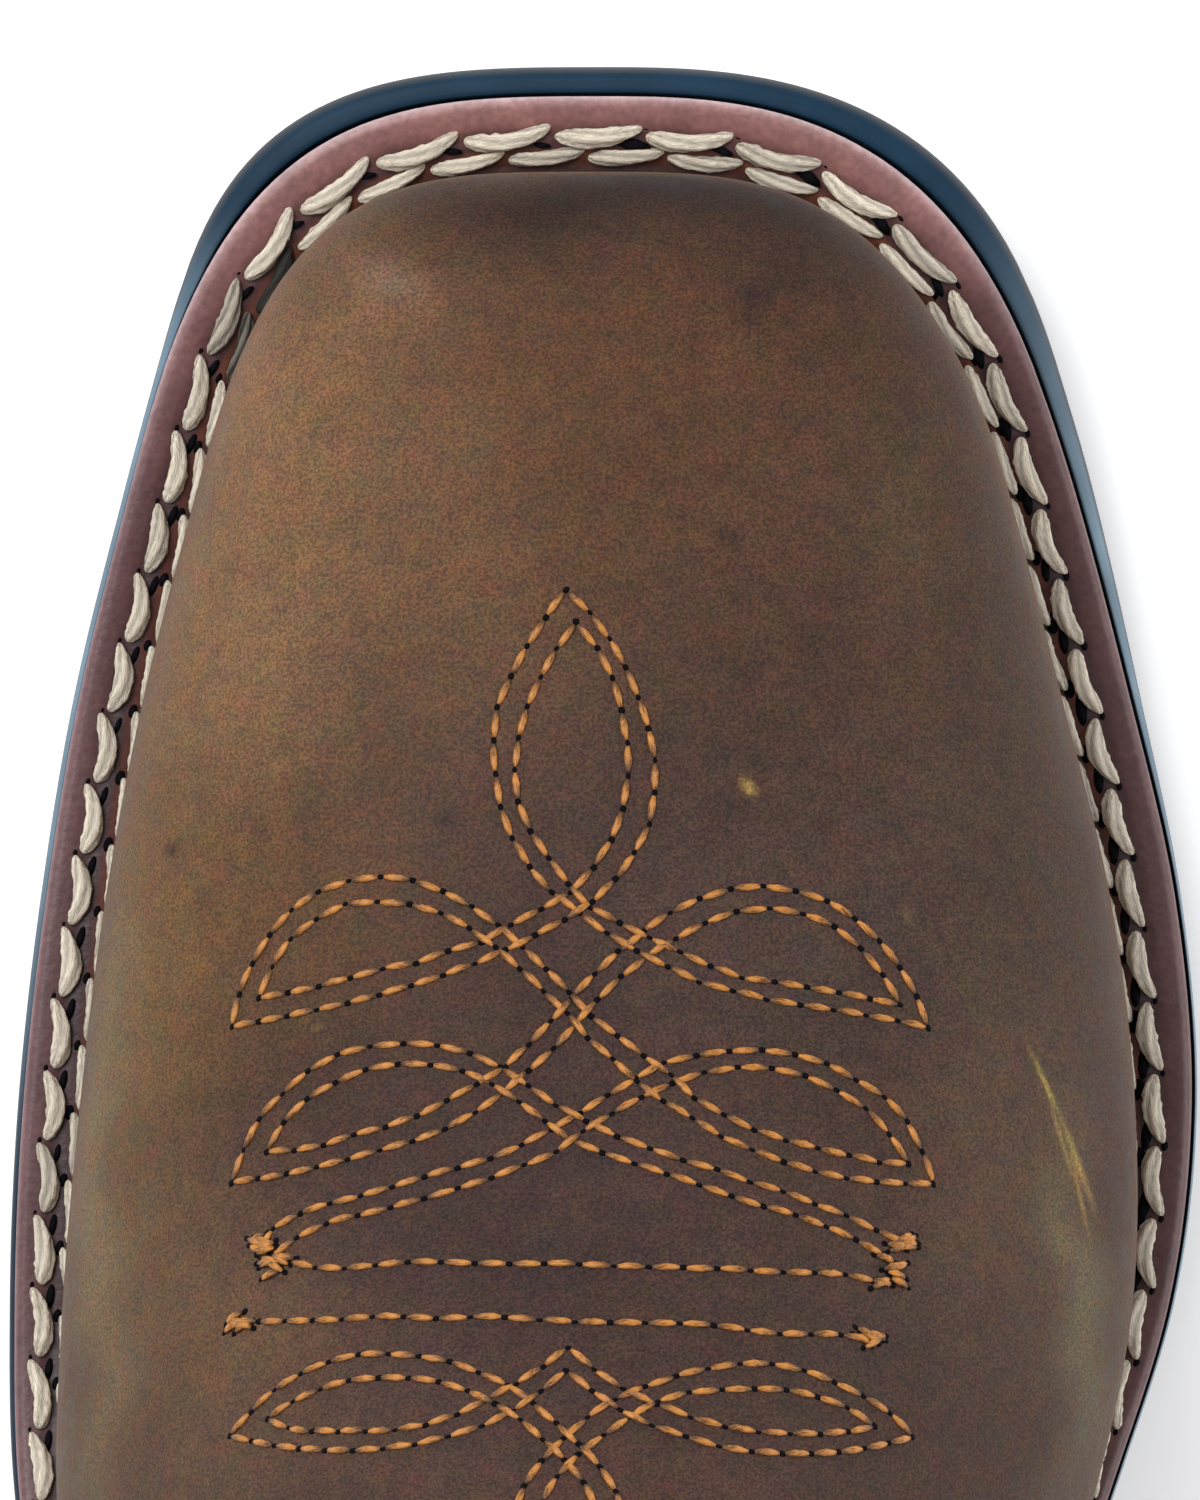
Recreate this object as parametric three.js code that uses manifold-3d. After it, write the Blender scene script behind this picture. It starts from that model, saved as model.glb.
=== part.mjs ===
// A left western boot with a broad square toe, standing empty on its sole.
// Millimetres, +Z up, toe towards -Y, outer (lateral) side towards +X, origin on the floor
// under the middle of the boot. t is the distance behind the toe tip, and z the height above the floor.
import * as THREE from "three";
import { mergeVertices } from "three/addons/utils/BufferGeometryUtils.js";
import Module from "manifold-3d";

// Driving sizes
const SOLE_LENGTH = 302;
const BALL_BREADTH = 115;
const INSTEP_HEIGHT = 110;
const SHAFT_HEIGHT = 330;
const HEEL_RISE = 33;
const TOE_SPRING = 12;

// Sole: the tread is flat from FLAT_FROM to FLAT_TO, springs up ahead of it and climbs the waist behind
const FLAT_FROM = 78;
const FLAT_TO = 118;
const WAIST_END = 250;
const OUTSOLE_FOREPART = 8;
const OUTSOLE_SEAT = 5.5;
const TOE_EDGE_BAND = 3.5;
const SIDE_EDGE_BAND = 1.1;
const EDGE_FADE = { lateral: 34, medial: 88 };
const TREAD_BEVEL = 1.2;
const GROOVES = { count: 9, first: 26, pitch: 13.5, width: 3.2, depth: 2.2, rim: 11 };

// Heel
const HEEL_BREAST = 234;
const LIFT_THICKNESS = 6.5;
const HEEL_UNDERCUT = { back: 8, side: 1.8, breast: 4 };

// Leather and the clearance between pieces that meet
const WELT_THICKNESS = 3;
const UPPER_WALL = 2.2;
const OVERLAY_THICKNESS = 1.7;
const INSOLE_THICKNESS = 3.5;
const GAP = 0.3;
const INSOLE_GAP = 1.2;

// Rounding of the plan outline at its two ends
const TOE_ROUND = 30;
const HEEL_ROUND = 36;
const TOE_SQUARENESS = { lateral: 3.3, medial: 2.7 };
const UPPER_SQUARENESS = { lateral: 3.7, medial: 3.2 };
const HEEL_SQUARENESS = 2.35;

// How far the upper's outline stands inside the edge of the sole
const UPPER_SET_BACK = { toe: 10.6, heel: 4.6 };
const FEATHER_TUCK = 2;

// Shaft, its top line, and what is sewn to it
const FRONT_DIP = 30;
const BACK_DIP = 20;
const BINDING = { depth: 7, thickness: 1.3 };
const PIPING = { width: 5, height: 1.9, clear: 2.5 };
const STRAP = { width: 27, thickness: 2.2, outside: 62, inside: 52, loop: 15 };
const SIDE_SEAM = { foot: 203, top: 228 };
const INSTEP_BLEND = 30;
const HEEL_BLEND = 10;

// Half breadths of the sole from the boot's axis and the upper's set-back at the sides, against the
// distance behind the toe as a share of the length. Breadths are shares of the ball breadth.
const OUTLINE = [
  { at: 0.0, lateral: 0.32, medial: 0.318, setBackLateral: 0.062, setBackMedial: 0.07 },
  { at: 0.066, lateral: 0.357, medial: 0.357, setBackLateral: 0.068, setBackMedial: 0.08 },
  { at: 0.132, lateral: 0.404, medial: 0.408, setBackLateral: 0.069, setBackMedial: 0.08 },
  { at: 0.199, lateral: 0.448, medial: 0.449, setBackLateral: 0.067, setBackMedial: 0.075 },
  { at: 0.265, lateral: 0.477, medial: 0.484, setBackLateral: 0.063, setBackMedial: 0.068 },
  { at: 0.331, lateral: 0.496, medial: 0.497, setBackLateral: 0.061, setBackMedial: 0.061 },
  { at: 0.397, lateral: 0.503, medial: 0.476, setBackLateral: 0.054, setBackMedial: 0.045 },
  { at: 0.447, lateral: 0.5, medial: 0.434, setBackLateral: 0.048, setBackMedial: 0.032 },
  { at: 0.513, lateral: 0.474, medial: 0.37, setBackLateral: 0.042, setBackMedial: 0.03 },
  { at: 0.58, lateral: 0.43, medial: 0.312, setBackLateral: 0.038, setBackMedial: 0.03 },
  { at: 0.662, lateral: 0.383, medial: 0.268, setBackLateral: 0.036, setBackMedial: 0.034 },
  { at: 0.745, lateral: 0.361, medial: 0.256, setBackLateral: 0.036, setBackMedial: 0.036 },
  { at: 0.828, lateral: 0.356, medial: 0.262, setBackLateral: 0.036, setBackMedial: 0.036 },
  { at: 0.91, lateral: 0.356, medial: 0.27, setBackLateral: 0.036, setBackMedial: 0.036 },
  { at: 1.0, lateral: 0.35, medial: 0.27, setBackLateral: 0.036, setBackMedial: 0.036 },
];

// The foot of the upper: height of its ridge above the floor and height of its widest line above the
// welt (shares of the instep height), squareness of the section, and how much the section narrows upwards.
const FOOT = [
  { at: 0.0, ridge: 0.41, widest: 0.1, square: 2.7, narrowing: 0.0 },
  { at: 0.1, ridge: 0.452, widest: 0.11, square: 2.6, narrowing: 0.0 },
  { at: 0.2, ridge: 0.502, widest: 0.12, square: 2.45, narrowing: 0.02 },
  { at: 0.3, ridge: 0.592, widest: 0.135, square: 2.3, narrowing: 0.08 },
  { at: 0.4, ridge: 0.755, widest: 0.155, square: 2.15, narrowing: 0.2 },
  { at: 0.5, ridge: 0.985, widest: 0.18, square: 2.05, narrowing: 0.3 },
  { at: 0.58, ridge: 1.17, widest: 0.2, square: 2.0, narrowing: 0.3 },
  { at: 0.68, ridge: 1.29, widest: 0.22, square: 2.0, narrowing: 0.2 },
  { at: 0.84, ridge: 1.32, widest: 0.24, square: 2.05, narrowing: 0.1 },
  { at: 1.0, ridge: 1.25, widest: 0.25, square: 2.1, narrowing: 0.1 },
];

// The shaft: height as a share of its own, front and back as shares of the length behind the toe,
// and half breadths as shares of the ball breadth.
const SHAFT = [
  { at: 0.06, front: 0.64, back: 0.93, half: 0.18 },
  { at: 0.18, front: 0.6, back: 0.958, half: 0.255 },
  { at: 0.3, front: 0.578, back: 0.957, half: 0.29 },
  { at: 0.4, front: 0.566, back: 0.956, half: 0.312 },
  { at: 0.52, front: 0.558, back: 0.96, half: 0.342 },
  { at: 0.67, front: 0.549, back: 0.968, half: 0.378 },
  { at: 0.85, front: 0.53, back: 0.977, half: 0.402 },
  { at: 1.05, front: 0.512, back: 0.985, half: 0.412 },
];
const SHAFT_SQUARENESS = 2.15;

// The boot's centre line swings from the middle of the toe to the middle of the heel (shares of the ball breadth)
const CENTRE = [
  { at: 0.0, x: 0.0 },
  { at: 0.16, x: 0.028 },
  { at: 0.5, x: 0.038 },
  { at: 0.85, x: 0.042 },
  { at: 1.0, x: 0.042 },
];

// Top edge of the vamp and the counter, seen from the side: height as a share of the instep height
const OVERLAY_LINE = [
  { at: 0.4, height: 1.55 },
  { at: 0.49, height: 1.2 },
  { at: 0.535, height: 0.94 },
  { at: 0.6, height: 0.69 },
  { at: 0.672, height: 0.56 },
  { at: 0.75, height: 0.66 },
  { at: 0.84, height: 0.85 },
  { at: 0.92, height: 0.98 },
  { at: 1.0, height: 1.03 },
];

// How finely the surfaces are sampled
const SAMPLING = { from: 50, to: 250, steps: 20, endSteps: 7, firstAngle: 0.03 };
const COLUMNS = 48;
const CROWDING = 0.15;
const OVERLAY_ROWS = 13;
const SHAFT_ROWS = 10;
const ROW_CROWDING = 1.4;
const NET = { rings: 72, around: 96, across: 90 };

// A smooth curve through one column of a table
function curve(rows, column) {
  const at = rows.map((row) => row.at);
  const value = rows.map((row) => row[column]);
  const last = rows.length - 1;
  const slope = (i) => (value[i + 1] - value[i]) / (at[i + 1] - at[i]);
  const tangent = (i) => {
    if (i === 0) return slope(0);
    if (i === last) return slope(last - 1);
    const before = at[i] - at[i - 1];
    const after = at[i + 1] - at[i];
    return (slope(i - 1) * after + slope(i) * before) / (before + after);
  };
  return (s) => {
    if (s <= at[0]) return value[0];
    if (s >= at[last]) return value[last];
    let i = 0;
    while (s > at[i + 1]) i++;
    const width = at[i + 1] - at[i];
    const k = (s - at[i]) / width;
    const h = k * k * (3 - 2 * k);
    const lean = k * (1 - k) * width * ((1 - k) * tangent(i) - k * tangent(i + 1));
    return value[i] * (1 - h) + value[i + 1] * h + lean;
  };
}

const lateralShare = curve(OUTLINE, "lateral");
const medialShare = curve(OUTLINE, "medial");
const setBackLateralShare = curve(OUTLINE, "setBackLateral");
const setBackMedialShare = curve(OUTLINE, "setBackMedial");
const ridgeShare = curve(FOOT, "ridge");
const widestShare = curve(FOOT, "widest");
const sectionSquareness = curve(FOOT, "square");
const sectionNarrowing = curve(FOOT, "narrowing");
const shaftFront = curve(SHAFT, "front");
const shaftBack = curve(SHAFT, "back");
const shaftHalf = curve(SHAFT, "half");
const centreShare = curve(CENTRE, "x");
const overlayHeight = curve(OVERLAY_LINE, "height");

const clamp = (value, low, high) => Math.min(high, Math.max(low, value));
const mix = (a, b, share) => a + (b - a) * share;
const ease = (share) => {
  const k = clamp(share, 0, 1);
  return k * k * (3 - 2 * k);
};
const yOf = (t) => t - SOLE_LENGTH / 2;
const centreLine = (t) => BALL_BREADTH * centreShare(t / SOLE_LENGTH);

// Heights along the sole
const treadHeight = (t) => {
  const spring = clamp((FLAT_FROM - t) / FLAT_FROM, 0, 1);
  const climb = ease((t - FLAT_TO) / (WAIST_END - FLAT_TO));
  return TOE_SPRING * spring * spring + HEEL_RISE * climb;
};
const outsoleTop = (t) =>
  treadHeight(t) + mix(OUTSOLE_FOREPART, OUTSOLE_SEAT, ease((t - FLAT_TO) / (WAIST_END - FLAT_TO)));
const weltTop = (t) => outsoleTop(t) + GAP + WELT_THICKNESS;
const featherHeight = (t) => weltTop(t) + GAP;

// Half breadth of a plan outline that stands inside the sole's edge by inset, on the lateral (side 1)
// or medial (side -1) side, measured from the boot's axis
function outlineHalf(t, side, inset) {
  const share = t / SOLE_LENGTH;
  const half = BALL_BREADTH * (side > 0 ? lateralShare(share) : medialShare(share)) - inset.side(t, side);
  const square = side > 0 ? inset.square.lateral : inset.square.medial;
  const toe = clamp((inset.toe + TOE_ROUND - t) / TOE_ROUND, 0, 1);
  const heel = clamp((t - (SOLE_LENGTH - inset.heel - HEEL_ROUND)) / HEEL_ROUND, 0, 1);
  return (
    half *
    Math.pow(1 - Math.pow(toe, square), 1 / square) *
    Math.pow(1 - Math.pow(heel, HEEL_SQUARENESS), 1 / HEEL_SQUARENESS)
  );
}

// Insets of the pieces' outlines from the edge of the sole
const edgeBand = (t, side) => {
  const fade = side > 0 ? EDGE_FADE.lateral : EDGE_FADE.medial;
  return mix(TOE_EDGE_BAND, SIDE_EDGE_BAND, ease(t / fade));
};
const upperSetBack = (t, side) => {
  const share = t / SOLE_LENGTH;
  return BALL_BREADTH * (side > 0 ? setBackLateralShare(share) : setBackMedialShare(share));
};
const deeper = (inset, by) => ({
  square: inset.square,
  toe: inset.toe + by,
  heel: inset.heel + by,
  side: (t, side) => inset.side(t, side) + by,
});
const soleEdge = { square: TOE_SQUARENESS, toe: 0, heel: 0, side: () => 0 };
const weltEdge = { square: TOE_SQUARENESS, toe: TOE_EDGE_BAND, heel: SIDE_EDGE_BAND, side: edgeBand };
const midEdge = {
  square: TOE_SQUARENESS,
  toe: TOE_EDGE_BAND * 0.4,
  heel: SIDE_EDGE_BAND * 0.4,
  side: (t, side) => edgeBand(t, side) * 0.4,
};
const overlayOutline = { square: UPPER_SQUARENESS, ...UPPER_SET_BACK, side: upperSetBack };
const upperOutline = deeper(overlayOutline, OVERLAY_THICKNESS + GAP);
const weltInside = deeper(upperOutline, FEATHER_TUCK + UPPER_WALL + GAP);
const insoleEdge = deeper(weltInside, INSOLE_GAP - GAP);

// Distances behind the toe at which a plan outline is sampled: close together round the toe and heel,
// and at the same places for every piece in between, so that their faces lie parallel
function stations(inset) {
  const square = (inset.square.lateral + inset.square.medial) / 2;
  const toeEnd = inset.toe + TOE_ROUND;
  const heelStart = SOLE_LENGTH - inset.heel - HEEL_ROUND;
  const { from, to, steps, endSteps, firstAngle } = SAMPLING;
  const list = [];
  for (let i = 0; i <= endSteps; i++) {
    const angle = mix(firstAngle, 1, i / endSteps) * (Math.PI / 2);
    list.push(toeEnd - TOE_ROUND * Math.pow(Math.cos(angle), 2 / square));
  }
  list.push((toeEnd + from) / 2);
  for (let i = 0; i <= steps; i++) list.push(mix(from, to, i / steps));
  for (let i = endSteps; i >= 0; i--) {
    const angle = mix(firstAngle, 1, i / endSteps) * (Math.PI / 2);
    list.push(heelStart + HEEL_ROUND * Math.pow(Math.cos(angle), 2 / HEEL_SQUARENESS));
  }
  return list;
}
const edgePoint = (t, side, inset, z) => [side * outlineHalf(t, side, inset), yOf(t), z];

// Signed size of the upper's form: negative inside, zero on the outside of the upper, for a point
// x away from the centre line on one side
function footForm(x, t, z, side) {
  const share = t / SOLE_LENGTH;
  const outer = BALL_BREADTH * (side > 0 ? lateralShare(share) : medialShare(share));
  const half = outer - upperOutline.side(t, side) - side * centreLine(t);
  const { lateral, medial } = upperOutline.square;
  const square = t > SOLE_LENGTH / 2 ? HEEL_SQUARENESS : side > 0 ? lateral : medial;
  const toe = Math.max(0, (upperOutline.toe + TOE_ROUND - t) / TOE_ROUND);
  const heel = Math.max(0, (t - (SOLE_LENGTH - upperOutline.heel - HEEL_ROUND)) / HEEL_ROUND);
  const level = INSTEP_HEIGHT * widestShare(share);
  const widest = featherHeight(t) + level;
  const above = (z - widest) / (INSTEP_HEIGHT * ridgeShare(share) - widest);
  const section = sectionSquareness(share);
  const narrow = above > 0 ? 1 - sectionNarrowing(share) * Math.min(above, 1) ** 2 : 1;
  const plan = Math.pow(
    Math.pow(Math.abs(x) / (half * narrow), square) + Math.pow(toe, square) + Math.pow(heel, square),
    1 / square,
  );
  if (above > 0) return half * (Math.pow(Math.pow(plan, section) + Math.pow(above, section), 1 / section) - 1);
  const below = (widest - z) / level;
  return half * (plan / (1 - (FEATHER_TUCK / half) * below * below) - 1);
}
function shaftForm(x, t, z, side) {
  const share = z / SHAFT_HEIGHT;
  const front = SOLE_LENGTH * shaftFront(share);
  const back = SOLE_LENGTH * shaftBack(share);
  const half = BALL_BREADTH * shaftHalf(share);
  const along = Math.abs(t - (front + back) / 2) / ((back - front) / 2);
  const across = Math.abs(x) / half;
  return half * (Math.pow(Math.pow(along, SHAFT_SQUARENESS) + Math.pow(across, SHAFT_SQUARENESS), 1 / SHAFT_SQUARENESS) - 1);
}
function form(x, t, z, side) {
  const foot = footForm(x, t, z, side);
  const shaft = shaftForm(x, t, z, side);
  const blend = mix(INSTEP_BLEND, HEEL_BLEND, ease((t / SOLE_LENGTH - 0.6) / 0.25));
  const share = clamp(0.5 + (0.5 * (shaft - foot)) / blend, 0, 1);
  return mix(shaft, foot, share) - blend * share * (1 - share);
}

// Slope of the form at a point of the boot, and the point moved onto its surface
function slopeAt(p) {
  const at = (x, y, z) => {
    const t = y + SOLE_LENGTH / 2;
    const out = x - centreLine(t);
    return form(Math.abs(out), t, z, out >= 0 ? 1 : -1);
  };
  const d = 0.05;
  const [x, y, z] = p;
  const slope = [
    (at(x + d, y, z) - at(x - d, y, z)) / (2 * d),
    (at(x, y + d, z) - at(x, y - d, z)) / (2 * d),
    (at(x, y, z + d) - at(x, y, z - d)) / (2 * d),
  ];
  return { value: at(x, y, z), slope, size: Math.hypot(...slope) };
}
function ontoSurface(p) {
  let q = p;
  for (let i = 0; i < 3; i++) {
    const { value, slope, size } = slopeAt(q);
    q = q.map((c, axis) => c - (value * slope[axis]) / (size * size));
  }
  return q;
}
const outward = (p) => {
  const { slope, size } = slopeAt(p);
  return slope.map((c) => c / size);
};
const level = ([x, y]) => [x / Math.hypot(x, y), y / Math.hypot(x, y), 0];
const along = (p, direction, distance) => p.map((c, axis) => c + direction[axis] * distance);

function bisect(low, high, test) {
  for (let i = 0; i < 34; i++) {
    const middle = (low + high) / 2;
    if (test(middle)) low = middle;
    else high = middle;
  }
  return (low + high) / 2;
}

// The outline of the boot from the side, walked up from the welt: its front (towards = -1) or its back
function walkProfile(towards) {
  const step = 2;
  const start = bisect(SOLE_LENGTH / 2, towards < 0 ? 0 : SOLE_LENGTH, (t) => form(0, t, featherHeight(t), 1) < 0);
  const points = [[start, featherHeight(start)]];
  let heading = [0, 1];
  while (points.at(-1)[1] < SHAFT_HEIGHT * 1.04) {
    let [t, z] = points.at(-1);
    t += heading[0] * step;
    z += heading[1] * step;
    let gradient = [0, 0];
    for (let i = 0; i < 3; i++) {
      const d = 0.05;
      gradient = [
        (form(0, t + d, z, 1) - form(0, t - d, z, 1)) / (2 * d),
        (form(0, t, z + d, 1) - form(0, t, z - d, 1)) / (2 * d),
      ];
      const pull = form(0, t, z, 1) / (gradient[0] ** 2 + gradient[1] ** 2);
      t -= pull * gradient[0];
      z -= pull * gradient[1];
    }
    const size = Math.hypot(...gradient);
    const turned = [-gradient[1] / size, gradient[0] / size];
    const sign = turned[0] * heading[0] + turned[1] * heading[1] < 0 ? -1 : 1;
    heading = turned.map((c) => c * sign);
    points.push([t, z]);
  }
  return points;
}
const frontProfile = walkProfile(-1);
const backProfile = walkProfile(1);
const pick = (list, share) => {
  const place = clamp(share, 0, 1) * (list.length - 1);
  const i = Math.min(Math.floor(place), list.length - 2);
  return list[i].map((c, axis) => mix(c, list[i + 1][axis], place - i));
};

// Rings round the boot, from the welt to the top: level at the shaft, sagging with the sole below the instep.
// The front of a ring climbs the toe and vamp while its back climbs the heel.
const ANKLE = 0.5;
const backAnkle = backProfile.findIndex(([, z]) => z > pick(frontProfile, ANKLE)[1]) / (backProfile.length - 1);
const backShare = (v) =>
  v < ANKLE ? backAnkle * Math.pow(v / ANKLE, 1.6) : mix(backAnkle, 1, (v - ANKLE) / (1 - ANKLE));
function makeRing(v) {
  const front = pick(frontProfile, v);
  const back = pick(backProfile, backShare(v));
  const sagging = Math.max(0, 1 - v / ANKLE) ** 1.5;
  const [[toe, toeHeight], [heel, heelHeight]] = [frontProfile[0], backProfile[0]];
  const sides = [1, -1].map((side) => {
    const line = [];
    for (let i = 0; i <= NET.across; i++) {
      const share = (1 - Math.cos((Math.PI * i) / NET.across)) / 2;
      const t = mix(front[0], back[0], share);
      const sag = featherHeight(mix(toe, heel, share)) - mix(toeHeight, heelHeight, share);
      const z = mix(front[1], back[1], share) + sag * sagging;
      const atEnd = i === 0 || i === NET.across;
      const x = atEnd ? 0 : bisect(0, BALL_BREADTH, (out) => form(out, t, z, side) < 0);
      line.push([centreLine(t) + side * x, yOf(t), z]);
    }
    return evenly(line, NET.around / 2);
  });
  return [...sides[0].slice(0, -1), ...sides[1].reverse().slice(0, -1)];
}
// Points along a line, closer together at its two ends
function evenly(line, steps) {
  const lengths = [0];
  for (let i = 1; i < line.length; i++) {
    lengths.push(lengths[i - 1] + Math.hypot(...line[i].map((c, axis) => c - line[i - 1][axis])));
  }
  const total = lengths.at(-1);
  const out = [];
  let k = 1;
  for (let i = 0; i <= steps; i++) {
    const share = i / steps;
    const length = total * (share - (CROWDING * Math.sin(2 * Math.PI * share)) / (2 * Math.PI));
    while (k < lengths.length - 1 && lengths[k] < length) k++;
    const part = (length - lengths[k - 1]) / (lengths[k] - lengths[k - 1]);
    out.push(line[k].map((c, axis) => mix(line[k - 1][axis], c, part)));
  }
  return out;
}
const net = Array.from({ length: NET.rings + 1 }, (_, i) => makeRing(i / NET.rings));

// A point of the upper's surface: u goes once round from the middle of the toe by the lateral side,
// v climbs from the welt to the top
function surface(u, v) {
  const row = clamp(v, 0, 1) * NET.rings;
  const i = Math.min(Math.floor(row), NET.rings - 1);
  const column = (u - Math.floor(u)) * NET.around;
  const j = Math.floor(column) % NET.around;
  const next = (j + 1) % NET.around;
  const share = column - Math.floor(column);
  const point = [0, 1, 2].map((axis) =>
    mix(
      mix(net[i][j][axis], net[i][next][axis], share),
      mix(net[i + 1][j][axis], net[i + 1][next][axis], share),
      row - i,
    ),
  );
  return v <= 0 ? point : ontoSurface(point);
}

// Heights of the boot's lines as shares of v, for one column
const collarHeight = (u) => {
  const forward = Math.cos(2 * Math.PI * u);
  const front = Math.max(0, forward) ** 1.5;
  const back = Math.max(0, -forward) ** 1.5;
  return SHAFT_HEIGHT - FRONT_DIP * front - BACK_DIP * back;
};
const reach = (u, isBelow) => bisect(0, 1, (v) => isBelow(surface(u, v)));
const belowOverlay = ([, y, z]) => z < INSTEP_HEIGHT * overlayHeight(y / SOLE_LENGTH + 0.5);
const overlayReach = (u) => reach(u, belowOverlay);
const collarReach = (u) => reach(u, ([, , z]) => z < collarHeight(u));

// A closed solid swept through sections with the same number of points, whose two halves are its two
// faces and are cut into triangles alike. A ring of sections closes on itself, and otherwise each end is
// capped by a strip between its halves.
function sweep(sections, ring) {
  const size = sections[0].length;
  const triangles = [];
  const index = (s, i) => (s % sections.length) * size + (i % size);
  const last = ring ? sections.length : sections.length - 1;
  for (let s = 0; s < last; s++) {
    for (let i = 0; i < size; i++) {
      const [a, b, c, d] = [index(s, i), index(s, i + 1), index(s + 1, i + 1), index(s + 1, i)];
      if (i < size / 2) triangles.push(a, b, c, a, c, d);
      else triangles.push(a, b, d, b, c, d);
    }
  }
  if (!ring) {
    for (let i = 0; i < size / 2 - 1; i++) {
      const pair = [i, i + 1, size - 2 - i, size - 1 - i];
      const [a, b, c, d] = pair.map((k) => index(0, k));
      triangles.push(a, c, b, a, d, c);
      const [e, f, g, h] = pair.map((k) => index(sections.length - 1, k));
      triangles.push(e, f, g, e, g, h);
    }
  }
  const geometry = new THREE.BufferGeometry();
  geometry.setAttribute("position", new THREE.Float32BufferAttribute(sections.flat(2), 3));
  geometry.setIndex(triangles);
  return facingOut(geometry);
}
function facingOut(geometry) {
  const [a, b, c] = [new THREE.Vector3(), new THREE.Vector3(), new THREE.Vector3()];
  const { position } = geometry.attributes;
  const { array } = geometry.index;
  let volume = 0;
  for (let i = 0; i < array.length; i += 3) {
    a.fromBufferAttribute(position, array[i]);
    b.fromBufferAttribute(position, array[i + 1]);
    c.fromBufferAttribute(position, array[i + 2]);
    volume += a.dot(b.cross(c));
  }
  if (volume < 0) array.reverse();
  return geometry;
}

const wasm = await Module();
wasm.setup();
function solidOf(geometry) {
  const bare = geometry.clone();
  bare.deleteAttribute("normal");
  bare.deleteAttribute("uv");
  const merged = mergeVertices(bare);
  return new wasm.Manifold(
    new wasm.Mesh({
      numProp: 3,
      vertProperties: new Float32Array(merged.attributes.position.array),
      triVerts: new Uint32Array(merged.index.array),
    }),
  );
}
function geometryOf(solid) {
  const mesh = solid.getMesh();
  const geometry = new THREE.BufferGeometry();
  geometry.setAttribute("position", new THREE.BufferAttribute(new Float32Array(mesh.vertProperties), 3));
  geometry.setIndex(new THREE.BufferAttribute(new Uint32Array(mesh.triVerts), 1));
  return geometry;
}

// A slab whose outline is sampled along the boot: levels go from its underside to its top
function slab(ts, levels) {
  const sections = ts(levels[0].inset).map((_, k) => {
    const side = (sign) =>
      levels.map(({ inset, z }) => {
        const t = ts(inset)[k];
        return edgePoint(t, sign, inset, z(t));
      });
    return [...side(1), ...side(-1).reverse()];
  });
  return sweep(sections, false);
}

function outsole() {
  const thickness = (t) => outsoleTop(t) - treadHeight(t);
  const body = slab(stations, [
    { inset: deeper(soleEdge, TREAD_BEVEL), z: treadHeight },
    { inset: soleEdge, z: (t) => treadHeight(t) + TREAD_BEVEL },
    { inset: midEdge, z: (t) => treadHeight(t) + thickness(t) * 0.72 },
    { inset: weltEdge, z: outsoleTop },
  ]);
  let solid = solidOf(body);
  for (let i = 0; i < GROOVES.count; i++) {
    const t = GROOVES.first + GROOVES.pitch * i;
    const rim = deeper(soleEdge, GROOVES.rim);
    const [outer, inner] = [outlineHalf(t, 1, rim), outlineHalf(t, -1, rim)];
    const bar = new THREE.BoxGeometry(outer + inner, GROOVES.width, GROOVES.depth * 2);
    const pitchAngle = Math.atan((treadHeight(t + 1) - treadHeight(t - 1)) / 2);
    bar.rotateX(pitchAngle);
    bar.translate((outer - inner) / 2, yOf(t), treadHeight(t));
    solid = solid.subtract(solidOf(bar));
  }
  return geometryOf(solid);
}

function ringOf(outerInset, innerInset, low, high) {
  const around = [];
  for (const side of [1, -1]) {
    const outerTs = stations(outerInset);
    const innerTs = stations(innerInset);
    const part = outerTs.map((t, k) => {
      const inner = innerTs[k];
      return [
        edgePoint(t, side, outerInset, low(t)),
        edgePoint(t, side, outerInset, high(t)),
        edgePoint(inner, side, innerInset, high(inner)),
        edgePoint(inner, side, innerInset, low(inner)),
      ];
    });
    around.push(...(side > 0 ? part : part.reverse()));
  }
  return sweep(around, true);
}
const welt = () => ringOf(weltEdge, weltInside, (t) => outsoleTop(t) + GAP, weltTop);

const insole = () =>
  slab(stations, [
    { inset: insoleEdge, z: (t) => outsoleTop(t) + GAP },
    { inset: insoleEdge, z: (t) => weltTop(t) + INSOLE_THICKNESS - 1 },
    { inset: deeper(insoleEdge, 1), z: (t) => weltTop(t) + INSOLE_THICKNESS },
  ]);

// The heel tapers from the outsole to the lift, its back and breast leaning in under it
function heelPiece(zLow, zHigh, cutUnderSole) {
  const leanOf = (z) => 1 - clamp(z / HEEL_RISE, 0, 1);
  const sections = [];
  const steps = 12;
  for (let i = 0; i <= steps; i++) {
    const share = Math.sin(((i / steps) * Math.PI) / 2) * 0.997;
    const side = (sign) =>
      [zLow, zHigh].map((z) => {
        const lean = leanOf(z);
        const inset = {
          square: TOE_SQUARENESS,
          toe: 0,
          heel: SIDE_EDGE_BAND + HEEL_UNDERCUT.back * lean,
          side: () => SIDE_EDGE_BAND + HEEL_UNDERCUT.side * lean,
        };
        const breast = HEEL_BREAST + HEEL_UNDERCUT.breast * lean;
        const t = mix(breast, SOLE_LENGTH - inset.heel, share);
        const height = cutUnderSole && z === zHigh ? treadHeight(t) - GAP : z;
        return edgePoint(t, sign, inset, height);
      });
    sections.push([...side(1), ...side(-1).reverse()]);
  }
  return sweep(sections, false);
}
const heelBlock = () => heelPiece(LIFT_THICKNESS + GAP, HEEL_RISE, true);
const topLift = () => heelPiece(0, LIFT_THICKNESS, false);

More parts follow.
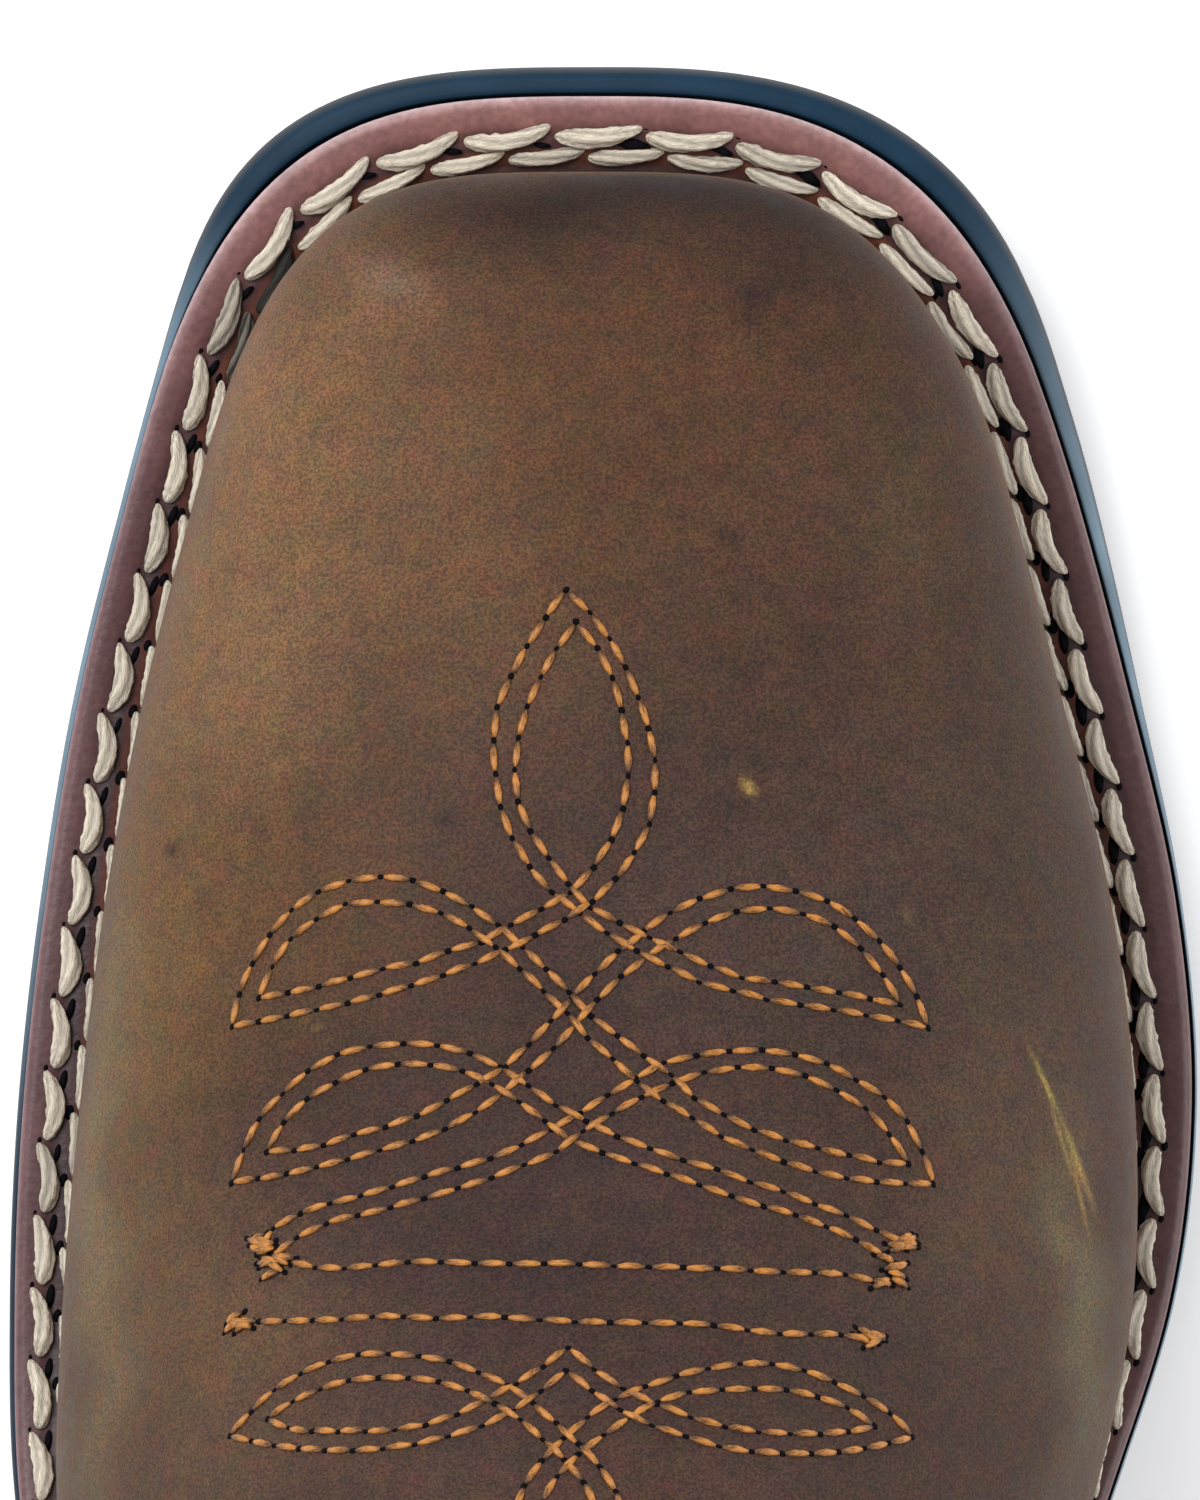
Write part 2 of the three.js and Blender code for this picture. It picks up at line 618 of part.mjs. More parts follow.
// Wall of the upper from the welt to the top line. Its rows follow the edge of the overlays, so that
// the facets of upper, vamp and counter lie parallel.
const columns = Array.from({ length: COLUMNS }, (_, i) => i / COLUMNS);
const lines = new Map();
function linesAt(u) {
  const key = u.toFixed(5);
  if (!lines.has(key)) lines.set(key, { overlay: overlayReach(u), collar: collarReach(u) });
  return lines.get(key);
}
function wallRows(u) {
  const { overlay, collar } = linesAt(u);
  const rows = [];
  for (let i = 0; i <= OVERLAY_ROWS; i++) rows.push(overlay * Math.pow(i / OVERLAY_ROWS, ROW_CROWDING));
  for (let i = 1; i <= SHAFT_ROWS; i++) rows.push(mix(overlay, collar, i / SHAFT_ROWS));
  return rows;
}
function wallSection(u, rows, inner, outer) {
  const base = rows.map((v) => surface(u, v));
  const normals = base.map((p, i) => (rows[i] > 0 ? outward(p) : level(outward(p))));
  const place = (distance) =>
    base.map((p, i) => {
      const [x, y, z] = along(p, normals[i], distance);
      return [x, y, rows[i] > 0 ? z : featherHeight(y + SOLE_LENGTH / 2)];
    });
  return [...place(outer), ...place(inner).reverse()];
}
const upper = () => sweep(columns.map((u) => wallSection(u, wallRows(u), -UPPER_WALL, 0)), true);

// Vamp and counter are one layer on the upper, parted across the boot where the side seams end
const overlayLayer = sweep(
  columns.map((u) => wallSection(u, wallRows(u).slice(0, OVERLAY_ROWS + 1), GAP, GAP + OVERLAY_THICKNESS)),
  true,
);
const overlaySolid = solidOf(overlayLayer);
const vamp = () => geometryOf(overlaySolid.trimByPlane([0, -1, 0], GAP / 2 - yOf(SIDE_SEAM.foot)));
const counter = () => geometryOf(overlaySolid.trimByPlane([0, 1, 0], GAP / 2 + yOf(SIDE_SEAM.foot)));

// Direction along the surface towards larger v or larger u
const unit = (a, b) => {
  const difference = b.map((c, axis) => c - a[axis]);
  const size = Math.hypot(...difference);
  return difference.map((c) => c / size);
};
const upDirection = (u, v) => unit(surface(u, v - 0.004), surface(u, v));
const roundDirection = (u, v) => unit(surface(u - 0.002, v), surface(u + 0.002, v));

// A place (u, v) of the side seam on one side, at a share of the way from the overlays to the top line
function seamPlace(side, share) {
  const rise = (u) => mix(linesAt(u).overlay, linesAt(u).collar, share);
  const aroundShare = bisect(0.1, 0.45, (s) => {
    const u = side > 0 ? s : 1 - s;
    const [, y, z] = surface(u, rise(u));
    return y < yOf(mix(SIDE_SEAM.foot, SIDE_SEAM.top, ease((z / SHAFT_HEIGHT) * 1.1)));
  });
  const u = side > 0 ? aroundShare : 1 - aroundShare;
  return [u, rise(u)];
}
function piping(side) {
  const low = surface(...seamPlace(side, 0))[2];
  const high = surface(...seamPlace(side, 1))[2];
  const first = PIPING.clear / (high - low);
  const shares = [first];
  for (let i = 1; i < SHAFT_ROWS; i++) shares.push(i / SHAFT_ROWS);
  shares.push(1 - (BINDING.depth + PIPING.clear) / (high - low));
  const sections = shares.map((share) => {
    const [u, v] = seamPlace(side, share);
    const p = surface(u, v);
    const normal = outward(p);
    const across = roundDirection(u, v);
    const at = (wide, high) => along(along(p, across, wide * PIPING.width), normal, GAP + high * PIPING.height);
    return [at(-0.5, 0), at(-0.42, 0.55), at(-0.2, 1), at(0.2, 1), at(0.42, 0.55), at(0.5, 0)];
  });
  return sweep(sections, false);
}

// Binding folded over the top line
function binding() {
  const sections = columns.map((u) => {
    const v = linesAt(u).collar;
    const edge = surface(u, v);
    const up = upDirection(u, v);
    const normal = outward(edge);
    const at = (out, high) => along(along(edge, normal, out), up, high);
    const [clear, thick] = [GAP, GAP + BINDING.thickness];
    return [
      at(clear, -BINDING.depth),
      at(thick, -BINDING.depth),
      at(thick, 0.2),
      at(thick * 0.3, thick),
      at(-UPPER_WALL - thick * 0.3, thick),
      at(-UPPER_WALL - thick, 0.2),
      at(-UPPER_WALL - thick, -BINDING.depth),
      at(-UPPER_WALL - clear, -BINDING.depth),
      at(-UPPER_WALL - clear, GAP),
      at(clear, GAP),
    ];
  });
  return sweep(sections, true);
}

// A pull strap: up the outside of the shaft over the side seam, in a loop above the top line and down inside
function pullStrap(side) {
  const [u] = seamPlace(side, 1);
  const clearOut = GAP + BINDING.thickness + GAP;
  const top = linesAt(u).collar;
  const topPoint = surface(u, top);
  const path = [];
  const leg = (length, inside) => {
    for (let i = 0; i <= 5; i++) {
      const drop = length * (1 - i / 5);
      const lift = ease((length - drop) / (length - BINDING.depth));
      const low = inside ? GAP : GAP + PIPING.height + GAP;
      const off = Math.max(mix(low, clearOut, lift), inside ? 0 : GAP + PIPING.height + GAP);
      path.push({ drop, off: inside ? -UPPER_WALL - off : off });
    }
  };
  leg(STRAP.outside, false);
  const outer = path.at(-1).off;
  const insideOff = -UPPER_WALL - clearOut;
  const middle = (outer + insideOff) / 2;
  for (let i = 1; i < 8; i++) {
    const angle = (Math.PI * i) / 8;
    path.push({
      drop: -STRAP.loop * Math.pow(Math.sin(angle), 0.7),
      off: middle + ((outer - insideOff) / 2 + 2.4 * Math.sin(angle)) * Math.cos(angle),
    });
  }
  const inner = [];
  for (let i = 0; i <= 5; i++) {
    const drop = STRAP.inside * (i / 5);
    const settle = ease((drop - BINDING.depth) / (STRAP.inside - BINDING.depth));
    inner.push({ drop, off: -UPPER_WALL - mix(clearOut, GAP, settle) });
  }
  path.push(...inner);
  const widths = [-0.5, -0.17, 0.17, 0.5];
  const place = ({ drop, off }, wide) => {
    const shift = (wide * STRAP.width) / ringLength(u, top);
    const column = u + shift;
    const v = drop > 0 ? reach(column, (p) => p[2] < topPoint[2] - drop) : top;
    const p = surface(column, drop > 0 ? v : reach(column, (q) => q[2] < topPoint[2]));
    const normal = outward(p);
    const out = level(normal);
    return { point: along([p[0], p[1], drop > 0 ? p[2] : p[2] - drop], out, off), out };
  };
  const sections = path.map((step, i) => {
    const [before, after] = [path[Math.max(i - 1, 0)], path[Math.min(i + 1, path.length - 1)]];
    const run = [after.off - before.off, before.drop - after.drop];
    const size = Math.hypot(...run);
    const face = [run[1] / size, -run[0] / size];
    const layer = (depth) =>
      widths.map((wide) => {
        const { point, out } = place(step, wide);
        const moved = along(point, out, face[0] * depth);
        return [moved[0], moved[1], moved[2] + face[1] * depth];
      });
    return [...layer(0), ...layer(STRAP.thickness).reverse()];
  });
  return sweep(sections, false);
}
const ringLength = (u, v) => {
  const d = 0.002;
  const [a, b] = [surface(u - d, v), surface(u + d, v)];
  return Math.hypot(...a.map((c, axis) => c - b[axis])) / (2 * d);
};

const LEATHER = { color: "#5f412a", roughness: 0.62, metalness: 0 };
const WELT_LEATHER = { color: "#6d4138", roughness: 0.5, metalness: 0 };
const RUBBER = { color: "#15191d", roughness: 0.45, metalness: 0 };
const LINING = { color: "#b08d63", roughness: 0.85, metalness: 0 };

const boot = new THREE.Group();
function add(name, geometry, finish) {
  const mesh = new THREE.Mesh(geometry, new THREE.MeshStandardMaterial(finish));
  mesh.name = name;
  boot.add(mesh);
}
add("outsole", outsole(), RUBBER);
add("welt", welt(), WELT_LEATHER);
add("heel_block", heelBlock(), RUBBER);
add("top_lift", topLift(), RUBBER);
add("insole", insole(), LINING);
add("upper", upper(), LEATHER);
add("vamp", vamp(), LEATHER);
add("counter", counter(), LEATHER);
add("side_piping_lateral", piping(1), LEATHER);
add("side_piping_medial", piping(-1), LEATHER);
add("top_binding", binding(), LEATHER);
add("pull_strap_lateral", pullStrap(1), LEATHER);
add("pull_strap_medial", pullStrap(-1), LEATHER);

// The sole's outline is centred on the boot's axis by its widest points
const widest = new THREE.Box3().setFromObject(boot);
boot.position.x = -(widest.min.x + widest.max.x) / 2;

export default boot;
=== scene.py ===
import math
import bpy
import numpy as np
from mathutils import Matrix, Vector
from mathutils.bvhtree import BVHTree

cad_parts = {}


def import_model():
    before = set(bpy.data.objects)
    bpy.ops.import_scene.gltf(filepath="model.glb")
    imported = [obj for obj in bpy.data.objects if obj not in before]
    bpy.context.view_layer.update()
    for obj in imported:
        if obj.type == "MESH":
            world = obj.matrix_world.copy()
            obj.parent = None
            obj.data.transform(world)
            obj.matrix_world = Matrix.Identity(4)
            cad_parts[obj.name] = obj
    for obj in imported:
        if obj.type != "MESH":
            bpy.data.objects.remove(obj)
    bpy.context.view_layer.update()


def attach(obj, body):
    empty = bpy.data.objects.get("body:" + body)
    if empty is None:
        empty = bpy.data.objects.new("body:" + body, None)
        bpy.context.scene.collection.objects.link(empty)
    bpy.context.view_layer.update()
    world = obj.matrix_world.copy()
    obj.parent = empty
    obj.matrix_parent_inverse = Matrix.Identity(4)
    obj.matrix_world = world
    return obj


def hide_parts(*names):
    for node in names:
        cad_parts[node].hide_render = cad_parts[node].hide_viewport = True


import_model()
mm = 0.001

# the boot's own sizes in mm; t runs back from the toe tip, z up from the floor
boot = {
    "length": 302, "ball": 115, "instep": 110, "shaft": 330, "heelRise": 33, "toeSpring": 12,
    "flatFrom": 78, "flatTo": 118, "waistEnd": 250, "sole": 8, "soleSeat": 5.5, "welt": 3,
    "wall": 2.2, "overlay": 1.7, "gap": 0.3, "toeRound": 30, "heelRound": 36, "heelSquare": 2.35,
    "tuck": 2, "shaftSquare": 2.15, "frontDip": 30, "backDip": 20, "instepBlend": 30, "heelBlend": 10,
    "seamFoot": 203, "seamTop": 228, "shelfToe": 3.5, "shelfHeel": 1.1,
}
soleSquare = (3.3, 2.7)  # squareness of the toe, lateral then medial
upperSquare = (3.7, 3.2)
outlineRows = [
    {"at": 0.0, "lateral": 0.32, "medial": 0.318, "backLateral": 0.062, "backMedial": 0.07},
    {"at": 0.066, "lateral": 0.357, "medial": 0.357, "backLateral": 0.068, "backMedial": 0.08},
    {"at": 0.132, "lateral": 0.404, "medial": 0.408, "backLateral": 0.069, "backMedial": 0.08},
    {"at": 0.199, "lateral": 0.448, "medial": 0.449, "backLateral": 0.067, "backMedial": 0.075},
    {"at": 0.265, "lateral": 0.477, "medial": 0.484, "backLateral": 0.063, "backMedial": 0.068},
    {"at": 0.331, "lateral": 0.496, "medial": 0.497, "backLateral": 0.061, "backMedial": 0.061},
    {"at": 0.397, "lateral": 0.503, "medial": 0.476, "backLateral": 0.054, "backMedial": 0.045},
    {"at": 0.447, "lateral": 0.5, "medial": 0.434, "backLateral": 0.048, "backMedial": 0.032},
    {"at": 0.513, "lateral": 0.474, "medial": 0.37, "backLateral": 0.042, "backMedial": 0.03},
    {"at": 0.58, "lateral": 0.43, "medial": 0.312, "backLateral": 0.038, "backMedial": 0.03},
    {"at": 0.662, "lateral": 0.383, "medial": 0.268, "backLateral": 0.036, "backMedial": 0.034},
    {"at": 0.745, "lateral": 0.361, "medial": 0.256, "backLateral": 0.036, "backMedial": 0.036},
    {"at": 0.828, "lateral": 0.356, "medial": 0.262, "backLateral": 0.036, "backMedial": 0.036},
    {"at": 0.91, "lateral": 0.356, "medial": 0.27, "backLateral": 0.036, "backMedial": 0.036},
    {"at": 1.0, "lateral": 0.35, "medial": 0.27, "backLateral": 0.036, "backMedial": 0.036},
]
footRows = [
    {"at": 0.0, "ridge": 0.41, "widest": 0.1, "square": 2.7, "narrowing": 0.0},
    {"at": 0.1, "ridge": 0.452, "widest": 0.11, "square": 2.6, "narrowing": 0.0},
    {"at": 0.2, "ridge": 0.502, "widest": 0.12, "square": 2.45, "narrowing": 0.02},
    {"at": 0.3, "ridge": 0.592, "widest": 0.135, "square": 2.3, "narrowing": 0.08},
    {"at": 0.4, "ridge": 0.755, "widest": 0.155, "square": 2.15, "narrowing": 0.2},
    {"at": 0.5, "ridge": 0.985, "widest": 0.18, "square": 2.05, "narrowing": 0.3},
    {"at": 0.58, "ridge": 1.17, "widest": 0.2, "square": 2.0, "narrowing": 0.3},
    {"at": 0.68, "ridge": 1.29, "widest": 0.22, "square": 2.0, "narrowing": 0.2},
    {"at": 0.84, "ridge": 1.32, "widest": 0.24, "square": 2.05, "narrowing": 0.1},
    {"at": 1.0, "ridge": 1.25, "widest": 0.25, "square": 2.1, "narrowing": 0.1},
]
shaftRows = [
    {"at": 0.06, "front": 0.64, "back": 0.93, "half": 0.18},
    {"at": 0.18, "front": 0.6, "back": 0.958, "half": 0.255},
    {"at": 0.3, "front": 0.578, "back": 0.957, "half": 0.29},
    {"at": 0.4, "front": 0.566, "back": 0.956, "half": 0.312},
    {"at": 0.52, "front": 0.558, "back": 0.96, "half": 0.342},
    {"at": 0.67, "front": 0.549, "back": 0.968, "half": 0.378},
    {"at": 0.85, "front": 0.53, "back": 0.977, "half": 0.402},
    {"at": 1.05, "front": 0.512, "back": 0.985, "half": 0.412},
]
centreRows = [
    {"at": 0.0, "x": 0.0}, {"at": 0.16, "x": 0.028}, {"at": 0.5, "x": 0.038},
    {"at": 0.85, "x": 0.042}, {"at": 1.0, "x": 0.042},
]
overlayRows = [
    {"at": 0.4, "height": 1.55}, {"at": 0.49, "height": 1.2}, {"at": 0.535, "height": 0.94},
    {"at": 0.6, "height": 0.69}, {"at": 0.672, "height": 0.56}, {"at": 0.75, "height": 0.66},
    {"at": 0.84, "height": 0.85}, {"at": 0.92, "height": 0.98}, {"at": 1.0, "height": 1.03},
]


def curveThrough(rows, column):
    at = np.array([row["at"] for row in rows], float)
    value = np.array([row[column] for row in rows], float)
    slope = np.diff(value) / np.diff(at)
    tangent = np.concatenate([slope[:1], np.zeros(len(rows) - 2), slope[-1:]])
    before, after = np.diff(at)[:-1], np.diff(at)[1:]
    tangent[1:-1] = (slope[:-1] * after + slope[1:] * before) / (before + after)

    def evaluate(s):
        s = np.clip(s, at[0], at[-1])
        i = np.clip(np.searchsorted(at, s, side="right") - 1, 0, len(at) - 2)
        width = at[i + 1] - at[i]
        k = (s - at[i]) / width
        h = k * k * (3 - 2 * k)
        lean = k * (1 - k) * width * ((1 - k) * tangent[i] - k * tangent[i + 1])
        return value[i] * (1 - h) + value[i + 1] * h + lean
    return evaluate


lateralShare, medialShare = curveThrough(outlineRows, "lateral"), curveThrough(outlineRows, "medial")
backLateral, backMedial = curveThrough(outlineRows, "backLateral"), curveThrough(outlineRows, "backMedial")
ridgeShare, widestShare = curveThrough(footRows, "ridge"), curveThrough(footRows, "widest")
squareOf, narrowingOf = curveThrough(footRows, "square"), curveThrough(footRows, "narrowing")
shaftFront, shaftBack = curveThrough(shaftRows, "front"), curveThrough(shaftRows, "back")
shaftHalf, centreShare = curveThrough(shaftRows, "half"), curveThrough(centreRows, "x")
overlayHeight = curveThrough(overlayRows, "height")
length, ball, gap = boot["length"], boot["ball"], boot["gap"]
shelfToe, shelfHeel = boot["shelfToe"], boot["shelfHeel"]  # how far the sole stands out past the welt


def mix(a, b, share):
    return a + (b - a) * share


def ease(share):
    k = np.clip(share, 0, 1)
    return k * k * (3 - 2 * k)


def centreLine(t):
    return ball * centreShare(t / length)


def climb(t):
    return ease((t - boot["flatTo"]) / (boot["waistEnd"] - boot["flatTo"]))


def treadHeight(t):
    spring = np.clip((boot["flatFrom"] - t) / boot["flatFrom"], 0, 1)
    return boot["toeSpring"] * spring * spring + boot["heelRise"] * climb(t)


def soleTop(t):
    return treadHeight(t) + mix(boot["sole"], boot["soleSeat"], climb(t))


def weltTop(t):
    return soleTop(t) + gap + boot["welt"]


def featherHeight(t):
    return weltTop(t) + gap


def edgeBand(t, side):
    return mix(shelfToe, shelfHeel, ease(t / np.where(side > 0, 34, 88)))


def setBack(t, side):
    return ball * np.where(side > 0, backLateral(t / length), backMedial(t / length))


def inset(square, toe, heel, side):
    return {"square": square, "toe": toe, "heel": heel, "side": side}


def deeper(base, by):
    return inset(base["square"], base["toe"] + by, base["heel"] + by, lambda t, side: base["side"](t, side) + by)


soleEdge = inset(soleSquare, 0, 0, lambda t, side: 0 * t)
weltEdge = inset(soleSquare, shelfToe, shelfHeel, edgeBand)
overlayEdge = inset(upperSquare, 10.6, 4.6, setBack)
upperEdge = deeper(overlayEdge, boot["overlay"] + gap)
weltInside = deeper(upperEdge, boot["tuck"] + boot["wall"] + gap)


def outlineHalf(t, side, edge):
    t, side = np.asarray(t, float), np.asarray(side, float)
    share = t / length
    half = ball * np.where(side > 0, lateralShare(share), medialShare(share)) - edge["side"](t, side)
    square = np.where(side > 0, edge["square"][0], edge["square"][1])
    toe = np.clip((edge["toe"] + boot["toeRound"] - t) / boot["toeRound"], 0, 1)
    heel = np.clip((t - (length - edge["heel"] - boot["heelRound"])) / boot["heelRound"], 0, 1)
    power = boot["heelSquare"]
    return half * (1 - toe ** square) ** (1 / square) * (1 - heel ** power) ** (1 / power)


def footForm(x, t, z, side):
    share = t / length
    outer = ball * np.where(side > 0, lateralShare(share), medialShare(share))
    half = outer - upperEdge["side"](t, side) - side * centreLine(t)
    square = np.where(t > length / 2, boot["heelSquare"], np.where(side > 0, upperSquare[0], upperSquare[1]))
    toe = np.maximum(0, (upperEdge["toe"] + boot["toeRound"] - t) / boot["toeRound"])
    heel = np.maximum(0, (t - (length - upperEdge["heel"] - boot["heelRound"])) / boot["heelRound"])
    rise = boot["instep"] * widestShare(share)
    widest = featherHeight(t) + rise
    above = (z - widest) / (boot["instep"] * ridgeShare(share) - widest)
    up = np.maximum(above, 0)
    narrow = 1 - narrowingOf(share) * np.minimum(up, 1) ** 2
    plan = ((np.abs(x) / (half * narrow)) ** square + toe ** square + heel ** square) ** (1 / square)
    section = squareOf(share)
    over = half * ((plan ** section + up ** section) ** (1 / section) - 1)
    below = np.maximum((widest - z) / rise, 0)
    under = half * (plan / (1 - (boot["tuck"] / half) * below * below) - 1)
    return np.where(above > 0, over, under)


def shaftForm(x, t, z):
    share = z / boot["shaft"]
    front, back = length * shaftFront(share), length * shaftBack(share)
    half = ball * shaftHalf(share)
    along = np.abs(t - (front + back) / 2) / ((back - front) / 2)
    p = boot["shaftSquare"]
    return half * ((along ** p + (np.abs(x) / half) ** p) ** (1 / p) - 1)


def form(x, t, z, side):
    foot, shaft = footForm(x, t, z, side), shaftForm(x, t, z)
    blend = mix(boot["instepBlend"], boot["heelBlend"], ease((t / length - 0.6) / 0.25))
    share = np.clip(0.5 + 0.5 * (shaft - foot) / blend, 0, 1)
    return mix(shaft, foot, share) - blend * share * (1 - share)


def formAt(p):
    t = p[..., 1] + length / 2
    out = p[..., 0] - centreLine(t)
    return form(np.abs(out), t, p[..., 2], np.where(out >= 0, 1.0, -1.0))


def slopeAt(p):
    d = 0.05
    steps = np.eye(3) * d
    return np.stack([(formAt(p + step) - formAt(p - step)) / (2 * d) for step in steps], -1)


def ontoSurface(p, turns=2):
    for _ in range(turns):
        slope = slopeAt(p)
        p = p - formAt(p)[..., None] * slope / (slope ** 2).sum(-1, keepdims=True)
    return p


def unit(v):
    return v / np.maximum(np.linalg.norm(v, axis=-1, keepdims=True), 1e-9)


def outward(p):
    return unit(slopeAt(p))


def walkProfile(towards):
    low, high = length / 2, (0.0 if towards < 0 else float(length))
    for _ in range(34):
        middle = (low + high) / 2
        inside = form(0.0, middle, featherHeight(middle), 1.0) < 0
        low, high = (middle, high) if inside else (low, middle)
    points, heading = [np.array([low, float(featherHeight(low))])], np.array([0.0, 1.0])
    while points[-1][1] < boot["shaft"] * 1.04:
        p = points[-1] + heading * 2
        for _ in range(3):
            d = 0.05
            slope = np.array([
                form(0.0, p[0] + d, p[1], 1.0) - form(0.0, p[0] - d, p[1], 1.0),
                form(0.0, p[0], p[1] + d, 1.0) - form(0.0, p[0], p[1] - d, 1.0),
            ]) / (2 * d)
            p = p - form(0.0, p[0], p[1], 1.0) * slope / (slope @ slope)
        turned = np.array([-slope[1], slope[0]]) / np.linalg.norm(slope)
        heading = turned * (-1 if turned @ heading < 0 else 1)
        points.append(p)
    return np.array(points)


def pick(line, share):
    place = np.clip(share, 0, 1) * (len(line) - 1)
    i = np.minimum(place.astype(int), len(line) - 2)
    return line[i] + (line[i + 1] - line[i]) * (place - i)[:, None]


# rings round the boot from the welt to the top; along each, u goes once round from the toe by the lateral side
netSize = {"rings": 180, "around": 360, "across": 140, "crowding": 0.15, "ankle": 0.5}


def makeNet():
    frontLine, backLine = walkProfile(-1), walkProfile(1)
    ankle = netSize["ankle"]
    v = np.linspace(0, 1, netSize["rings"] + 1)
    ankleHeight = pick(frontLine, np.array([ankle]))[0, 1]
    backAnkle = np.argmax(backLine[:, 1] > ankleHeight) / (len(backLine) - 1)
    backShare = np.where(v < ankle, backAnkle * (np.minimum(v, ankle) / ankle) ** 1.6,
                         mix(backAnkle, 1, (v - ankle) / (1 - ankle)))
    front, back = pick(frontLine, v), pick(backLine, backShare)
    share = (1 - np.cos(np.pi * np.arange(netSize["across"] + 1) / netSize["across"])) / 2
    t = mix(front[:, :1], back[:, :1], share)
    straight = mix(frontLine[0, 1], backLine[0, 1], share)
    sag = featherHeight(mix(frontLine[0, 0], backLine[0, 0], share)) - straight
    z = mix(front[:, 1:], back[:, 1:], share) + sag * (np.maximum(0, 1 - v / ankle) ** 1.5)[:, None]
    halves = []
    for side in (1.0, -1.0):
        low, high = np.zeros_like(t), np.full_like(t, ball)
        for _ in range(30):
            middle = (low + high) / 2
            inside = form(middle, t, z, np.full_like(t, side)) < 0
            low, high = np.where(inside, middle, low), np.where(inside, high, middle)
        x = low
        x[:, [0, -1]] = 0
        line = np.stack([centreLine(t) + side * x, t - length / 2, z], -1)
        steps = np.linalg.norm(np.diff(line, axis=1), axis=-1)
        run = np.concatenate([np.zeros((len(v), 1)), np.cumsum(steps, 1)], 1)
        k = np.linspace(0, 1, netSize["around"] // 2 + 1)
        target = k - netSize["crowding"] * np.sin(2 * np.pi * k) / (2 * np.pi)
        halves.append(np.stack([np.stack([np.interp(target * run[i, -1], run[i], line[i, :, a]) for a in range(3)], -1)
                                for i in range(len(v))]))
    return np.concatenate([halves[0][:, :-1], halves[1][:, ::-1][:, :-1]], 1)


net = makeNet()
print("surface of the last is ready", net.shape)


def surface(u, v):
    u, v = np.broadcast_arrays(np.asarray(u, float), np.asarray(v, float))
    row = np.clip(v, 0, 1) * netSize["rings"]
    i = np.minimum(row.astype(int), netSize["rings"] - 1)
    column = (u - np.floor(u)) * netSize["around"]
    j = column.astype(int) % netSize["around"]
    k = (j + 1) % netSize["around"]
    a, b = (row - i)[..., None], (column - np.floor(column))[..., None]
    p = mix(mix(net[i, j], net[i, k], b), mix(net[i + 1, j], net[i + 1, k], b), a)
    return np.where((v <= 0)[..., None], p, ontoSurface(p))


def solve(low, high, test, turns=22):
    low, high = np.array(low, float), np.array(high, float)
    for _ in range(turns):
        middle = (low + high) / 2
        ok = test(middle)
        low, high = np.where(ok, middle, low), np.where(ok, high, middle)
    return (low + high) / 2


def collarHeight(u):
    forward = np.cos(2 * np.pi * u)
    frontDip = boot["frontDip"] * np.maximum(0, forward) ** 1.5
    backDip = boot["backDip"] * np.maximum(0, -forward) ** 1.5
    return boot["shaft"] - frontDip - backDip


# the overlays' top edge and the top line, as v for each u, kept in tables that are read in between
ringU = np.linspace(0, 1, 361)


def reachTable(isBelow):
    return solve(np.zeros(361), np.ones(361), lambda v: isBelow(surface(ringU, v), ringU))


overlayTable = reachTable(lambda p, u: p[:, 2] < boot["instep"] * overlayHeight(p[:, 1] / length + 0.5))
collarTable = reachTable(lambda p, u: p[:, 2] < collarHeight(u))


def overlayReach(u):
    return np.interp(u - np.floor(u), ringU, overlayTable)


def collarReach(u):
    return np.interp(u - np.floor(u), ringU, collarTable)


# camera: straight above the forefoot, toe towards the top of the picture
view = {"middleX": 0.3, "middleT": 65.6, "planeHeight": 12, "distance": 1200, "frameHeight": 144.2, "sensor": 36,
        "across": 1200, "down": 1500}  # the last two are the picture's pixels
camera = bpy.data.objects.new("camera", bpy.data.cameras.new("camera"))
bpy.context.scene.collection.objects.link(camera)
camera.location = Vector((view["middleX"], view["middleT"] - length / 2, view["planeHeight"] + view["distance"])) * mm
camera.rotation_euler = (0, 0, math.pi)
camera.data.sensor_fit = "VERTICAL"
camera.data.sensor_height = view["sensor"]
camera.data.lens = view["sensor"] * view["distance"] / view["frameHeight"]
camera.data.clip_start, camera.data.clip_end = 0.05, 10
bpy.context.scene.camera = camera
bpy.context.scene.view_settings.view_transform = "Standard"


def cameraRay(px, py):
    scale = view["frameHeight"] / view["down"]
    direction = np.array([(view["across"] / 2 - px) * scale, (py - view["down"] / 2) * scale, -view["distance"]])
    return camera.location.copy(), Vector(direction).normalized()


